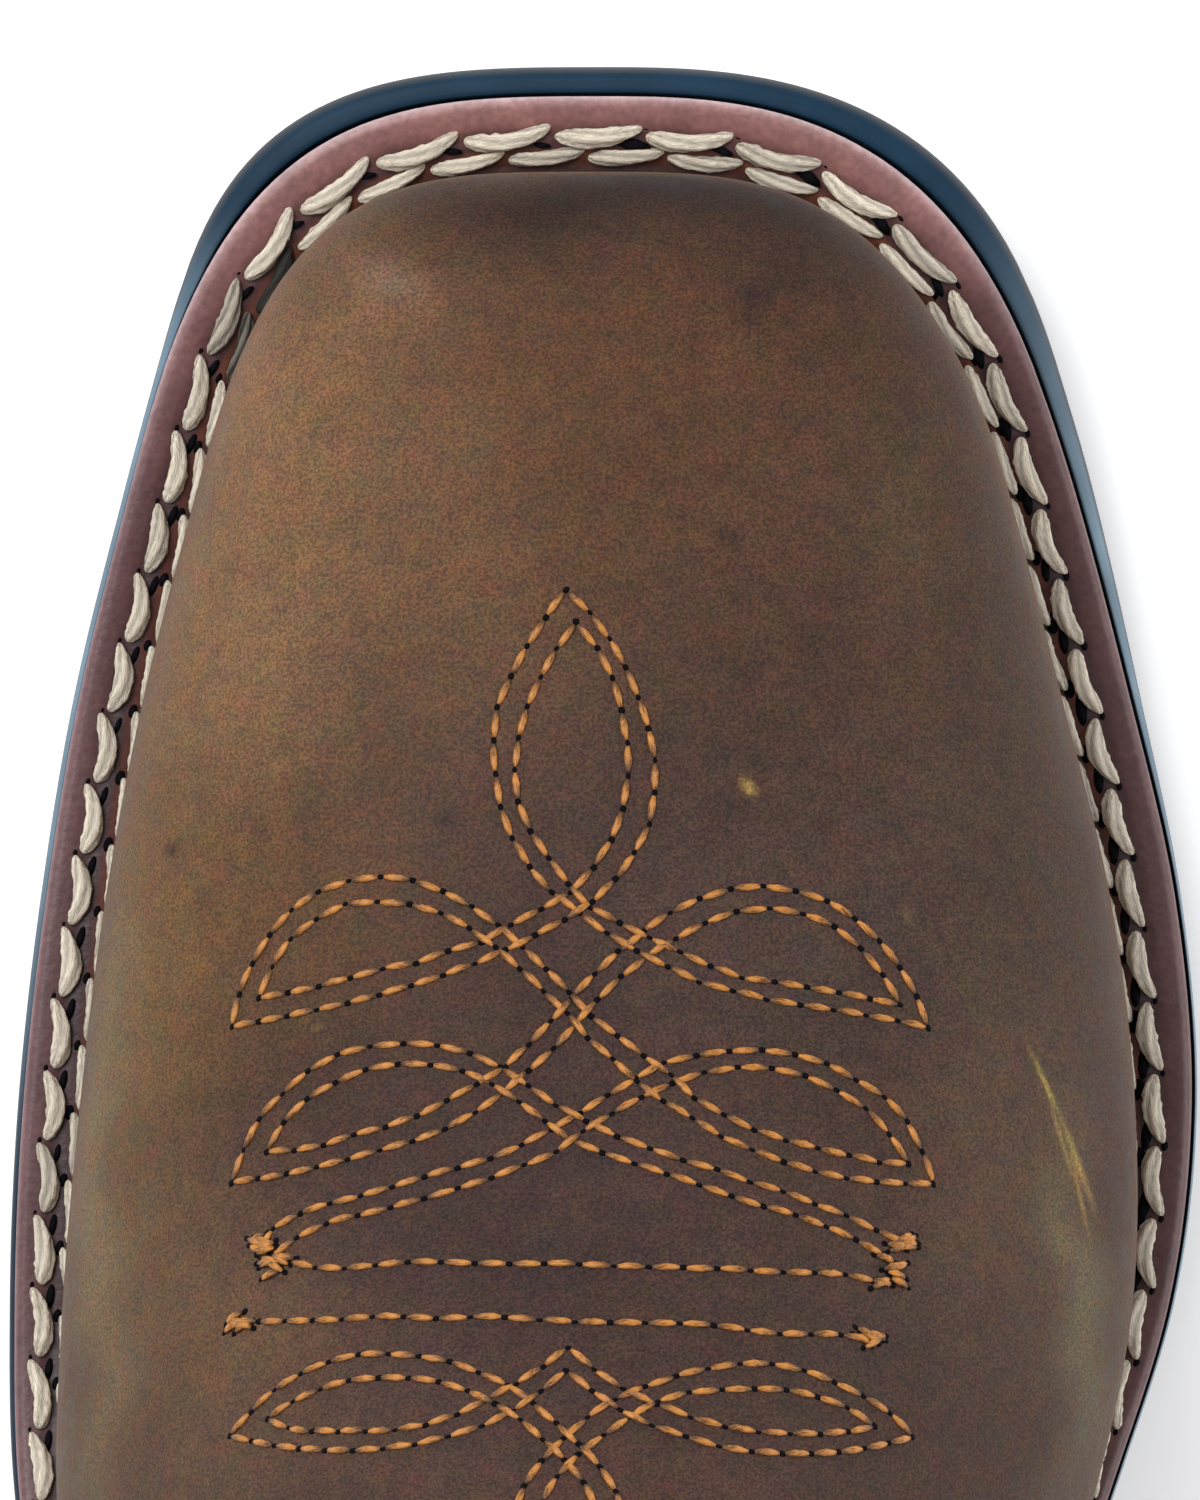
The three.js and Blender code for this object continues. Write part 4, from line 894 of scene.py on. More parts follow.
def makeOutsole(material):
    bevel, channel = outsoleSize["bevel"], outsoleSize["channel"]

    def bandLevel(share, extra):
        # an outline at a share of the shelf's width, or in the channel beside the welt, narrower on the lateral side
        def side(t, s):
            room = np.where(s > 0, mix(channel, outsoleSize["channelLateral"], ease((t - 6) / 24)), channel)
            return share * (edgeBand(t, s) - room) + extra * room / channel
        return inset(soleSquare, share * (shelfToe - channel) + extra, share * (shelfHeel - channel) + extra, side)
    levels = [(deeper(soleEdge, bevel), 0.0, 0.0), (deeper(soleEdge, 0.5), 0.0, 0.35), (soleEdge, 0.0, bevel)]
    for share, band, extra in ((0.42, 0.06, 0), (0.6, 0.16, 0), (0.7, 0.27, 0), (0.755, 0.38, 0), (0.79, 0.55, 0),
                               (0.82, 0.8, 0), (0.835, 0.95, 0), (0.82, 1.0, 0.03), (0.68, 1.0, 0.12),
                               (0.66, 1.0, 0.5), (0.8, 1.0, channel), (1.0, 1.0, channel + 0.1)):
        levels.append((bandLevel(band, extra), share, 0.0))
    edges = [grooves["first"] + grooves["pitch"] * i + k * (grooves["width"] / 2 + e) for i in range(grooves["count"])
             for k in (-1, 1) for e in (0, grooves["slope"])]
    across = np.linspace(-1, 1, 49)
    bottom, rim = levels[0][0], deeper(soleEdge, grooves["rim"])
    ts = stations(bottom, edges)
    lateral, medial = outlineHalf(ts, np.ones_like(ts), bottom), outlineHalf(ts, -np.ones_like(ts), bottom)
    rimLateral, rimMedial = outlineHalf(ts, np.ones_like(ts), rim), outlineHalf(ts, -np.ones_like(ts), rim)
    x = np.where(across >= 0, across * lateral[:, None], across * medial[:, None])
    # columns snap to the grooves' ends
    for sign, edge in ((1, rimLateral), (-1, rimMedial)):
        for offset in (0, grooves["slope"]):
            target = sign * (edge + offset)
            column = np.abs(x - target[:, None]).argmin(1)
            x[np.arange(len(ts)), column] = np.where(edge > 5, target, x[np.arange(len(ts)), column])
    x = np.sort(x, 1)
    inGroove = np.zeros(len(ts), bool)
    for i in range(grooves["count"]):
        inGroove |= np.abs(ts - grooves["first"] - grooves["pitch"] * i) < grooves["width"] / 2 + 0.01
    inside = (x < rimLateral[:, None] + 0.01) & (x > -rimMedial[:, None] - 0.01)
    z = treadHeight(ts)[:, None] + grooves["depth"] * (inGroove[:, None] & inside)
    under = np.stack([x, np.repeat(ts[:, None], 49, 1) - length / 2, z], -1)

    def level(side, number):
        edge, share, lift = levels[number]
        t = stations(edge, edges)
        low, high = treadHeight(t), soleTop(t)
        return edgePoints(t, side, edge, low + lift if share == 0 else low + (high - low) * share)
    sides = {side: np.stack([level(side, k) for k in range(1, len(levels))], 1) for side in (1, -1)}
    topT = stations(levels[-1][0], edges)
    top = np.stack([edgePoints(topT, 1 if s > 0 else -1, levels[-1][0], soleTop(topT)) * np.array([abs(s), 1, 1])
                    for s in np.linspace(1, -1, 17)[1:-1]], 1)
    loops = np.concatenate([under, sides[1], top, sides[-1][:, ::-1]], 1)
    # the shelf's up-facing bevel carries a painted sheen: deep blue at the toe, blue-grey down the sides, navy again at
    # the lateral ball
    count = len(levels) - 1
    shelf = np.array([0, 0.03, 0.12, 0.3, 0.7, 0.95, 1, 1, 0.9, 0.5, 0, 0, 0, 0])
    t = loops[..., 1] + length / 2
    black, toe, lateral, medial, late = (np.array(linear(rubberLook[key])[:3])
                                         for key in ("black", "toe", "lateral", "medial", "late"))
    sideways = mix(mix(toe, lateral, ease((t - 12) / 16)[..., None]), late, ease((t - 62) / 50)[..., None])
    inwards = mix(toe, medial, ease((t - 10) / 42)[..., None])
    shelfSheen, share = np.where((loops[..., :1] > 0), sideways, inwards), np.zeros(loops.shape[:2])
    share[:, 49:49 + count], share[:, -count:] = shelf, shelf[::-1]
    paint = np.concatenate([mix(black, shelfSheen, share[..., None]), np.ones(share.shape + (1,))], -1)
    loops, paint = np.roll(loops, -24, axis=1), np.roll(paint, -24, axis=1)
    piece = sweepPiece("outsole_rubber", loops, material, attributes={"paint": paint})
    return finishPiece(piece, ["outsole"])


def plainPaint(sections, colour):
    return np.ones(sections.shape[:2] + (1,)) * np.array(linear(colour))


heelSize = {"lift": 6.5, "layers": 6, "lineDepth": 0.22, "lineHalf": 0.012, "steps": 70}


def heelSections(zLow, zHigh, underSole, levels):
    share = np.sin(np.linspace(0, 1, heelSize["steps"] + 1) * np.pi / 2) * 0.9995
    rows = []
    for side in (1, -1):
        for k in (range(len(levels)) if side > 0 else range(len(levels) - 1, -1, -1)):
            at, pull = levels[k]
            z = mix(zLow, zHigh, at)
            lean = 1 - np.clip(z / boot["heelRise"], 0, 1)
            edge = inset(soleSquare, 0, shelfHeel + 8 * lean + pull,
                         lambda t, s, lean=lean, pull=pull: shelfHeel + 1.8 * lean + pull + 0 * t)
            t = mix(234 + 4 * lean + pull, length - edge["heel"], share)
            top = treadHeight(t) - gap
            height = mix(zLow + 0 * t, top, at) if underSole else z + 0 * t
            rows.append(edgePoints(t, side, edge, height))
    return np.stack(rows, 1)


def makeHeel(material):
    block = [(0, 0.5), (0.02, 0.1)]
    layers, half = heelSize["layers"], heelSize["lineHalf"]
    for i in range(1, layers):  # fine lines between the layers of the stacked heel
        block += [(i / layers - half, 0.0), (i / layers, heelSize["lineDepth"]), (i / layers + half, 0.0)]
    block += [(0.98, 0.1), (1, 0.5)]
    sections = heelSections(heelSize["lift"] + gap, boot["heelRise"], True, block)
    piece = sweepPiece("heel_block_stacked", sections, material,
                       attributes={"paint": plainPaint(sections, rubberLook["heel"])})
    finishPiece(piece, ["heel_block"])
    lift = [(0, 0.7), (0.06, 0.2), (0.14, 0.0), (0.5, 0.0), (0.88, 0.0), (0.96, 0.15), (1, 0.5)]
    sections = heelSections(0, heelSize["lift"], False, lift)
    piece = sweepPiece("top_lift_rubber", sections, material,
                       attributes={"paint": plainPaint(sections, rubberLook["lift"])})
    finishPiece(piece, ["top_lift"])


def loopAround(edge, z, drop=0.0):
    t = stations(edge)
    lateral = edgePoints(t, 1, edge, z(t) - drop)
    medial = edgePoints(t, -1, edge, z(t) - drop)
    return np.concatenate([lateral, medial[::-1]])


# colour across the welt, by distance from its outer edge in mm; the dark at 3 to 4.4 mm, along the inner side of the
# outer row, and the dark at the inner edge against the upper are painted shade, and at the toe, where the colours are
# paler, the pale outer edge is a painted highlight
weltLook = {"steps": 0.4, "rows": (3.2, 6.1), "channel": 0.16,
            "lateral": [(0.0, "#7a5a5c"), (0.7, "#634345"), (2.2, "#583839"), (3.0, "#442729"), (4.4, "#3a2023"),
                        (5.2, "#60332a"), (6.0, "#472722"), (7.2, "#281917")],
            "medial": [(0.0, "#6f5050"), (0.7, "#5e4040"), (2.2, "#563737"), (3.0, "#432829"), (4.4, "#371f22"),
                       (5.2, "#643427"), (6.0, "#452620"), (7.2, "#261715")],
            "toe": [(0.0, "#b89a9b"), (0.35, "#a07672"), (0.7, "#946a67"), (2.2, "#8a5f5c"), (3.0, "#63403c"),
                    (4.4, "#4a2a2d"), (5.2, "#70402f"), (6.0, "#4f2c25"), (7.2, "#281815")]}


def colourRow(stops, at):
    places = [stop[0] for stop in stops]
    shades = np.array([linear(stop[1])[:3] for stop in stops])
    return np.stack([np.interp(at, places, shades[:, c]) for c in range(3)], -1)


def makeWelt(material):
    def low(t):
        return soleTop(t) + gap
    rounded = deeper(weltEdge, -0.25)
    profile = [(weltEdge, low, 0, 0), (rounded, low, -0.9, 0), (rounded, weltTop, 0.9, 0),
               (weltEdge, weltTop, 0.35, 0), (deeper(weltEdge, 0.35), weltTop, 0.08, 0.35)]
    for depth in np.arange(0.8, 9.2, weltLook["steps"]):
        sunk = sum(math.exp(-((depth - row) / 0.8) ** 2) for row in weltLook["rows"]) * weltLook["channel"]
        profile.append((deeper(weltEdge, depth), weltTop, sunk, depth))
    profile += [(deeper(weltInside, -0.6), weltTop, 0, 9), (weltInside, weltTop, 0, 9), (weltInside, low, 0, 9)]
    narrowest = 8.4  # the welt is narrower than this at the waist, so its columns close up there

    def fitted(edge, depth):
        if not 0.8 <= depth < 8.9:
            return edge
        def side(t, s):
            room = weltInside["side"](t, s) - edgeBand(t, s) - 0.8
            return edgeBand(t, s) + np.minimum(depth, depth * room / narrowest)
        ends = {"toe": shelfToe + depth, "heel": shelfHeel + depth * (weltInside["heel"] - 1.9) / narrowest}
        return inset(soleSquare, ends["toe"], ends["heel"], side)
    sections = np.stack([loopAround(fitted(edge, depth), z, drop) for edge, z, drop, depth in profile], 1)
    depths = np.tile([row[3] for row in profile], (len(sections), 1))
    lateral = (sections[..., 0] > 0)[..., None]
    paint = np.where(lateral, colourRow(weltLook["lateral"], depths), colourRow(weltLook["medial"], depths))
    toeShare = 1 - ease((sections[..., 1] + length / 2 - 8) / np.where(lateral[..., 0], 40, 22))
    paint = mix(paint, colourRow(weltLook["toe"], depths), toeShare[..., None])
    paint = np.concatenate([paint, np.ones(paint.shape[:2] + (1,))], -1)
    piece = sweepPiece("welt_leather_ring", sections, material, ring=True, attributes={"paint": paint})
    return finishPiece(piece, ["welt"])


insoleSize = {"clear": 0.9, "proud": 3.5}


def makeInsole(material):
    edge = deeper(weltInside, insoleSize["clear"])
    def low(t):
        return soleTop(t) + gap
    def high(t):
        return weltTop(t) + insoleSize["proud"]
    columns = [(edge, low, 0), (edge, high, 1.0), (deeper(edge, 0.3), high, 0.3), (deeper(edge, 1.0), high, 0)]
    sides = {}
    for side in (1, -1):
        sides[side] = np.stack([edgePoints(stations(e), side, e, z(stations(e)) - d) for e, z, d in columns], 1)
    rim = columns[-1][0]
    t = stations(rim)
    top = np.stack([edgePoints(t, 1 if s > 0 else -1, rim, high(t)) * np.array([abs(s), 1, 1])
                    for s in np.linspace(1, -1, 13)[1:-1]], 1)
    loops = np.concatenate([sides[1], top, sides[-1][:, ::-1]], 1)
    # the underside is closed between the two low edges
    piece = sweepPiece("insole_board", loops, material, half=9)
    return finishPiece(piece, ["insole"])


shaftLook = {"base": "#564134", "light": "#6e533a", "deep": "#3f302a"}
# soft troughs where the shaft gives at the ankle: u and height of the middle, reach round and up, depth, and tilt in mm
ankleCreases = [(0.0, 124, 0.13, 5.5, 1.5, 18), (0.03, 141, 0.1, 5.0, 1.1, -26), (-0.05, 157, 0.09, 5.5, 0.9, 34),
                (0.5, 118, 0.1, 6.0, 1.3, 14), (0.47, 136, 0.09, 5.0, 1.0, -30), (0.53, 152, 0.08, 5.5, 0.7, 24),
                (0.12, 172, 0.05, 9.0, 0.6, 60), (-0.13, 168, 0.05, 9.0, 0.6, -60)]


def creaseDepth(u, z):
    # each trough has a low ridge above and below it, and none reaches the side seams
    depth = 0 * z
    for middle, height, reachU, reachZ, deep, tilt in ankleCreases:
        du = (u - middle + 0.5) % 1 - 0.5
        k = (z - height - tilt * du * 4) / reachZ
        depth += deep * (np.exp(-k ** 2) - 0.3 * np.exp(-(np.abs(k) - 1.9) ** 2)) * np.exp(-(du / reachU) ** 2)
    fromSeam = np.abs((u * 2) % 1 - 0.5)
    return depth * ease((fromSeam - 0.06) / 0.14)


def shaftColours(points):
    # broad worn tones: lighter and darker in slow waves over the leather, deeper at the ankle
    x, y, z = points[..., 0], points[..., 1], points[..., 2]
    wave = 0.5 + 0.25 * np.sin(z / 31 + x / 40) + 0.25 * np.sin(y / 27 - z / 53 + 1)
    base, light, deep = (np.array(linear(shaftLook[key])[:3]) for key in ("base", "light", "deep"))
    atAnkle = np.exp(-((z - 95) / 40) ** 2)[..., None] * 0.35
    colour = mix(mix(base, light, wave[..., None] * 0.6), deep, atAnkle)
    return np.concatenate([colour, np.ones(colour.shape[:-1] + (1,))], -1)


def offsetPoints(u, v, distance):
    base = surface(u, v)
    normal = outward(base)
    flat = unit(normal * np.array([1, 1, 0]))
    low = (v <= 1e-9)[..., None]
    out = base + np.where(low, flat, normal) * np.asarray(distance)[..., None]
    out[..., 2] = np.where(low[..., 0], featherHeight(out[..., 1] + length / 2), out[..., 2])
    return out


def makeUpper(outside, inside):
    u = np.arange(300) / 300
    overlay, collar = overlayReach(u), collarReach(u)
    lower = overlay[:, None] * (np.linspace(0, 1, 18) ** 1.3)
    upperRows = overlay[:, None] + (collar - overlay)[:, None] * np.linspace(0, 1, 121)[1:]
    outerV = np.concatenate([lower, upperRows], 1)
    innerV = collar[:, None] * np.linspace(1, 0, 70) ** 1.15
    column = np.repeat(u[:, None], outerV.shape[1], 1)
    columnIn = np.repeat(u[:, None], innerV.shape[1], 1)

    def creased(column, v):
        return creaseDepth(column, surface(column, v)[..., 2]) * ease((v - overlay[:, None]) / 0.03)
    outer = offsetPoints(column, outerV, -creased(column, outerV))
    inner = offsetPoints(columnIn, innerV, -boot["wall"] - creased(columnIn, innerV))
    sections = np.concatenate([outer, inner], 1)
    m = sections.shape[1]
    slots = np.tile((np.arange(m) >= outerV.shape[1] - 1).astype(int), (len(u), 1)).reshape(-1)
    paint = shaftColours(sections)
    piece = sweepPiece("upper_shaft_and_foot", sections, outside, ring=True, extraMaterials=(inside,), slots=slots,
                       attributes={"paint": paint})
    return finishPiece(piece, ["upper"])


# the parting of vamp and counter on each side, as u for a share of the overlays' height
seamShare = np.linspace(0, 1, 41)


def seamAt(side, y):
    def before(s):
        u = s if side > 0 else 1 - s
        return surface(u, seamShare * overlayReach(u))[:, 1] < y
    table = solve(np.full(41, 0.1), np.full(41, 0.45), before)
    return lambda share: np.interp(share, seamShare, table)


vampEnd, counterStart = boot["seamFoot"] - length / 2 - gap / 2, boot["seamFoot"] - length / 2 + gap / 2
vampSeams = {side: seamAt(side, vampEnd) for side in (1, -1)}
counterSeams = {side: seamAt(side, counterStart) for side in (1, -1)}


def layerGrid(columns, rows, columnOf):
    # rows close together near the welt and at the top edge, where the leather's edge rounds over
    share = np.linspace(0, 1, rows) ** 1.12
    u = columnOf(np.linspace(0, 1, columns)[:, None], share[None, :])
    return u, share[None, :] * overlayReach(u)


def vampColumn(k, share):
    w = 2 * k - 1
    return np.where(w >= 0, w * vampSeams[1](share), w * vampSeams[-1](share))


def counterColumn(k, share):
    start, end = counterSeams[1](share), 1 - counterSeams[-1](share)
    return mix(start, end, k)


overlayLook = {"skiveToe": 0.45, "skiveCorner": 0.6, "cornerAt": 19, "cornerReach": 8, "edgeRound": 0.28}


def makeOverlay(name, node, columns, rows, columnOf, material):
    u, v = layerGrid(columns, rows, columnOf)
    # the vamp is skived thinner where it is lasted over the corners of the toe
    low = surface(u, v)
    t, above = low[..., 1] + length / 2, low[..., 2] - featherHeight(low[..., 1] + length / 2)
    corner = np.exp(-((t - overlayLook["cornerAt"]) / overlayLook["cornerReach"]) ** 2)
    skived = overlayLook["skiveToe"] + overlayLook["skiveCorner"] * corner
    skived = skived * (1 - ease((t - 24) / 20)) * (1 - ease(above / 26))
    top = offsetPoints(u, v, boot["overlay"] + gap - skived)
    # the upper edge rounds down to the inner face
    foot = offsetPoints(u[:, -1:], v[:, -1:], np.full_like(u[:, -1:], gap))
    up = unit(top[:, -1] - top[:, -2])
    rounding = []
    for share in (0.25, 0.5, 0.75):
        rounding.append(mix(top[:, -1], foot[:, 0], share) + up * overlayLook["edgeRound"] * math.sin(math.pi * share))
    inShare = np.linspace(1, 0, 16)
    uIn = columnOf(np.linspace(0, 1, columns)[:, None], inShare[None, :])
    vIn = inShare[None, :] * overlayReach(uIn)
    inner = offsetPoints(uIn, vIn, np.full_like(uIn, gap))
    sections = np.concatenate([top, np.stack(rounding, 1), inner], 1)
    paint = shaftColours(sections)[..., :3]
    if node == "vamp":
        # the photo's colours fade out down the walls, which it doesn't show, and behind its lower edge
        slope = outward(low)[..., 2]
        facing = np.concatenate([slope, np.repeat(slope[:, -1:], 3, 1), 0 * vIn], 1)
        seen = ease((facing - 0.03) / 0.35) * (1 - ease((sections[..., 1] + length / 2 - 140) / 40))
        paint = paintMarks(sections, mix(paint, leatherTonesAndPaintedLight(sections), seen[..., None]))
    paint = np.concatenate([paint, np.ones(paint.shape[:2] + (1,))], -1)
    piece = sweepPiece(name, sections, material, half=rows, attributes={"paint": paint})
    return finishPiece(piece, [node])


def seamPlace(side, share, shiftT=0.0):
    share = np.asarray(share, float)

    def rise(u):
        return mix(overlayReach(u), collarReach(u), share)

    def before(s):
        u = s if side > 0 else 1 - s
        p = surface(u, rise(u))
        foot = mix(boot["seamFoot"], boot["seamTop"], ease(p[..., 2] / boot["shaft"] * 1.1))
        return p[..., 1] + length / 2 < foot + shiftT
    s = solve(np.full_like(share, 0.1), np.full_like(share, 0.45), before)
    u = s if side > 0 else 1 - s
    return u, rise(u)


def roundDirection(u, v):
    return unit(surface(u + 0.002, v) - surface(u - 0.002, v))


pipingSize = {"wide": 5, "high": 1.9, "clearFoot": 2.5, "clearTop": 9.5}
bindingThick = 1.3


def makePiping(side, material):
    u, v = seamPlace(side, np.array([0.0, 1.0]))
    heights = surface(u, v)[:, 2]
    span = heights[1] - heights[0]
    share = np.linspace(pipingSize["clearFoot"] / span, 1 - pipingSize["clearTop"] / span, 110)
    u, v = seamPlace(side, share)
    p = surface(u, v)
    normal, across = outward(p), roundDirection(u, v)
    profile = [(-0.5, 0.0), (-0.49, 0.25), (-0.44, 0.5), (-0.34, 0.78), (-0.2, 0.96), (0, 1.0), (0.2, 0.96),
               (0.34, 0.78), (0.44, 0.5), (0.49, 0.25), (0.5, 0.0), (0.0, 0.0)]
    sections = np.stack([p + across * wide * pipingSize["wide"] + normal * (gap + high * pipingSize["high"])
                         for wide, high in profile], 1)
    sideName = "lateral" if side > 0 else "medial"
    piece = sweepPiece("piping_" + sideName, sections, material, half=11, attributes={"paint": shaftColours(sections)})
    return finishPiece(piece, ["side_piping_" + sideName])


def makeBinding(material):
    u = np.arange(300) / 300
    v = collarReach(u)
    edge = surface(u, v)
    up = unit(edge - surface(u, v - 0.004))
    normal = outward(edge)
    thick, wall = gap + bindingThick, boot["wall"]
    profile = [(gap, -7), (thick - 0.35, -7), (thick, -6.6), (thick, -3), (thick, 0.2), (thick * 0.86, 0.9),
               (thick * 0.3, thick), (-wall - thick * 0.3, thick), (-wall - thick * 0.86, 0.9),
               (-wall - thick, 0.2), (-wall - thick, -3), (-wall - thick, -6.6), (-wall - thick + 0.35, -7),
               (-wall - gap, -7), (-wall - gap, gap), (gap, gap)]
    sections = np.stack([edge + normal * out + up * high for out, high in profile], 1)
    piece = sweepPiece("binding_top_line", sections, material, ring=True,
                       attributes={"paint": shaftColours(sections) * 0.8})
    return finishPiece(piece, ["top_binding"])


strapSize = {"width": 27, "thick": 2.2, "outside": 62, "inside": 52, "loop": 15}


def strapPath():
    clearOut, wall = gap + bindingThick + gap, boot["wall"]
    low = gap + pipingSize["high"] + gap
    drop = np.linspace(strapSize["outside"], 0, 34)
    lift = ease((strapSize["outside"] - drop) / (strapSize["outside"] - 7))
    path = [(d, max(mix(low, clearOut, k), low)) for d, k in zip(drop, lift)]
    outer, insideOff = path[-1][1], -wall - clearOut
    middle = (outer + insideOff) / 2
    for angle in np.linspace(0, np.pi, 33)[1:-1]:
        path.append((-strapSize["loop"] * math.sin(angle) ** 0.7,
                     middle + ((outer - insideOff) / 2 + 2.4 * math.sin(angle)) * math.cos(angle)))
    for d in np.linspace(0, strapSize["inside"], 30):
        settle = ease((d - 7) / (strapSize["inside"] - 7))
        path.append((d, -wall - mix(clearOut, gap, settle)))
    return np.array(path)


def makeStrap(side, material):
    u0 = seamPlace(side, np.array([1.0]))[0]
    top = collarReach(u0)
    d = 0.002
    ringLength = np.linalg.norm(surface(u0 - d, top) - surface(u0 + d, top)) / (2 * d)
    topZ = float(surface(u0, top)[0, 2])
    path = strapPath()
    widths = np.array([-0.5, -0.49, -0.46, -0.3, -0.1, 0.1, 0.3, 0.46, 0.49, 0.5])
    column = u0[0] + widths * strapSize["width"] / ringLength
    drop, off = path[:, 0], path[:, 1]
    uGrid = np.repeat(column[None, :], len(path), 0)
    target = np.repeat((topZ - np.maximum(drop, 0))[:, None], len(widths), 1)
    v = solve(np.zeros_like(uGrid), np.ones_like(uGrid), lambda k: surface(uGrid, k)[..., 2] < target)
    p = surface(uGrid, v)
    out = unit(outward(p) * np.array([1, 1, 0]))
    point = p + out * off[:, None, None]
    point[..., 2] = np.where(drop[:, None] > 0, p[..., 2], p[..., 2] - drop[:, None])
    before, after = np.concatenate([path[:1], path[:-1]]), np.concatenate([path[1:], path[-1:]])
    run = unit(np.stack([after[:, 1] - before[:, 1], before[:, 0] - after[:, 0]], -1))
    face = np.stack([run[:, 1], -run[:, 0]], -1)
    normal = out * face[:, None, :1] + np.array([0, 0, 1]) * face[:, None, 1:]
    slim = np.array([0.5, 0.28, 0.1, 0, 0, 0, 0, 0.1, 0.28, 0.5]) * strapSize["thick"]
    lower = point + normal * slim[None, :, None]
    upperFace = point + normal * (strapSize["thick"] - slim)[None, :, None]
    sections = np.concatenate([lower, upperFace[:, ::-1]], 1)
    sideName = "lateral" if side > 0 else "medial"
    piece = sweepPiece("strap_" + sideName, sections, material, attributes={"paint": shaftColours(sections)})
    return finishPiece(piece, ["pull_strap_" + sideName])


# distance of each row from the edge of the sole in mm, by the distance behind the toe
weltRows = [
    {"at": 0, "outerLateral": 6.2, "outerMedial": 6.4, "innerLateral": 7.7, "innerMedial": 7.9},
    {"at": 27, "outerLateral": 4.7, "outerMedial": 6.1, "innerLateral": 7.2, "innerMedial": 8.2},
    {"at": 46, "outerLateral": 4.6, "outerMedial": 5.9, "innerLateral": 7.3, "innerMedial": 8.4},
    {"at": 66, "outerLateral": 4.1, "outerMedial": 5.2, "innerLateral": 7.2, "innerMedial": 7.8},
    {"at": 85, "outerLateral": 3.7, "outerMedial": 5.0, "innerLateral": 6.8, "innerMedial": 7.3},
    {"at": 104, "outerLateral": 3.5, "outerMedial": 4.1, "innerLateral": 6.2, "innerMedial": 6.7},
    {"at": 120, "outerLateral": 3.3, "outerMedial": 3.5, "innerLateral": 5.9, "innerMedial": 5.4},
    {"at": 150, "outerLateral": 2.6, "outerMedial": 2.6, "innerLateral": 5.4, "innerMedial": 4.6},
    {"at": 302, "outerLateral": 2.5, "outerMedial": 2.5, "innerLateral": 5.2, "innerMedial": 4.6},
]
weltStitch = {
    "outer": {"toe": 6.9, "start": 4.8, "pitchToe": 8.7, "pitchSide": 6.95, "halfWide": 0.86, "halfHigh": 0.6,
              "lean": 0.42, "bow": 0.75, "end": 291},
    "inner": {"toe": 8.85, "start": 1.6, "pitchToe": 7.6, "pitchSide": 6.5, "halfWide": 0.72, "halfHigh": 0.52,
              "lean": 0.34, "bow": 0.35, "end": 138},
}


def rowEdge(which):
    lateral, medial = curveThrough(weltRows, which + "Lateral"), curveThrough(weltRows, which + "Medial")
    return inset(soleSquare, weltStitch[which]["toe"], 2.5, lambda t, s: np.where(s > 0, lateral(t), medial(t)))


def rowJoints(which):
    # joints from the lateral heel round the toe to the medial heel
    look = weltStitch[which]
    edge = rowEdge(which)
    t = stations(edge)
    t = t[t < look["end"]]
    line = np.concatenate([edgePoints(t, 1, edge, weltTop(t))[::-1], edgePoints(t, -1, edge, weltTop(t))])
    run = np.concatenate([[0], np.cumsum(np.linalg.norm(np.diff(line, axis=0), axis=1))])
    start = np.interp(-(look["start"] - shift), -line[len(t) - 12:len(t) + 12, 0], run[len(t) - 12:len(t) + 12])

    def walk(direction):
        places, s = [], start
        while 0 < s < run[-1]:
            places.append(s)
            here = np.interp(s, run, line[:, 1]) + length / 2
            s += direction * mix(look["pitchToe"], look["pitchSide"], float(ease((here - 6) / 40)))
        return places
    places = np.array(walk(-1)[::-1] + walk(1)[1:])
    return np.stack([np.interp(places, run, line[:, a]) for a in range(3)], -1)


def makeWeltRow(which, material, seed):
    look = weltStitch[which]
    joints = rowJoints(which)
    a, b = joints[:-1], joints[1:]
    n, k = len(a), 23
    rng = np.random.default_rng(seed)
    along = unit(b - a)
    up = unit(np.cross(np.cross(along, np.array([0, 0, 1.0])), along))
    inward = np.cross(along, up)
    size = np.linalg.norm(b - a, axis=1)
    s = 0.5 - 0.482 * np.cos(np.pi * np.linspace(0.02, 0.98, k))
    arch = np.sin(np.pi * s)
    lean, bow = look["lean"] * rng.uniform(0.75, 1.25, n), look["bow"] * rng.uniform(0.75, 1.3, n)
    sway = lean[:, None] * (1 - 2 * s) + bow[:, None] * (arch - 0.45)
    height = 0.12 + 0.42 * arch ** 0.7
    lines = (a[:, None] + along[:, None] * (size[:, None] * s)[..., None] + inward[:, None] * sway[..., None]
             + up[:, None] * height[None, :, None])
    body = (1 - np.abs((2 * s - 1) / 0.966) ** 3) ** 0.5 * (1.08 - 0.2 * s)
    px, py = toPhoto((a + b) / 2)
    soilAndShade = rng.uniform(0, 0.1, n) + 0.16 * (rng.uniform(0, 1, n) > 0.86)
    if which == "inner":
        soilAndShade += 0.95 * np.exp(-(((px - 270) / 44) ** 4 + ((py - 305) / 58) ** 4))
        soilAndShade += 0.22 * np.exp(-(((px - 700) / 140) ** 2 + ((py - 175) / 30) ** 2))
    else:
        soilAndShade += 0.35 * np.exp(-(((px - 235) / 16) ** 2 + ((py - 305) / 30) ** 2))
    # painted highlight, brightest on each stitch's crown, over a random tone for each stitch
    tone = rng.uniform(-0.1, 0.12, n)
    shine = np.clip(0.3 + tone[:, None] + 0.3 * arch[None], 0, 1)
    stitchMesh("welt_stitches_" + which, lines, np.repeat(inward[:, None], k, 1), np.repeat(up[:, None], k, 1),
               look["halfWide"] * body, look["halfHigh"] * body, material, around=24, plies=4, twist=2.2,
               soilAndShade=soilAndShade[:, None] * np.ones(k), shine=shine, seed=seed, relief=0.12, crease=0.4)
    return joints, along, inward, up


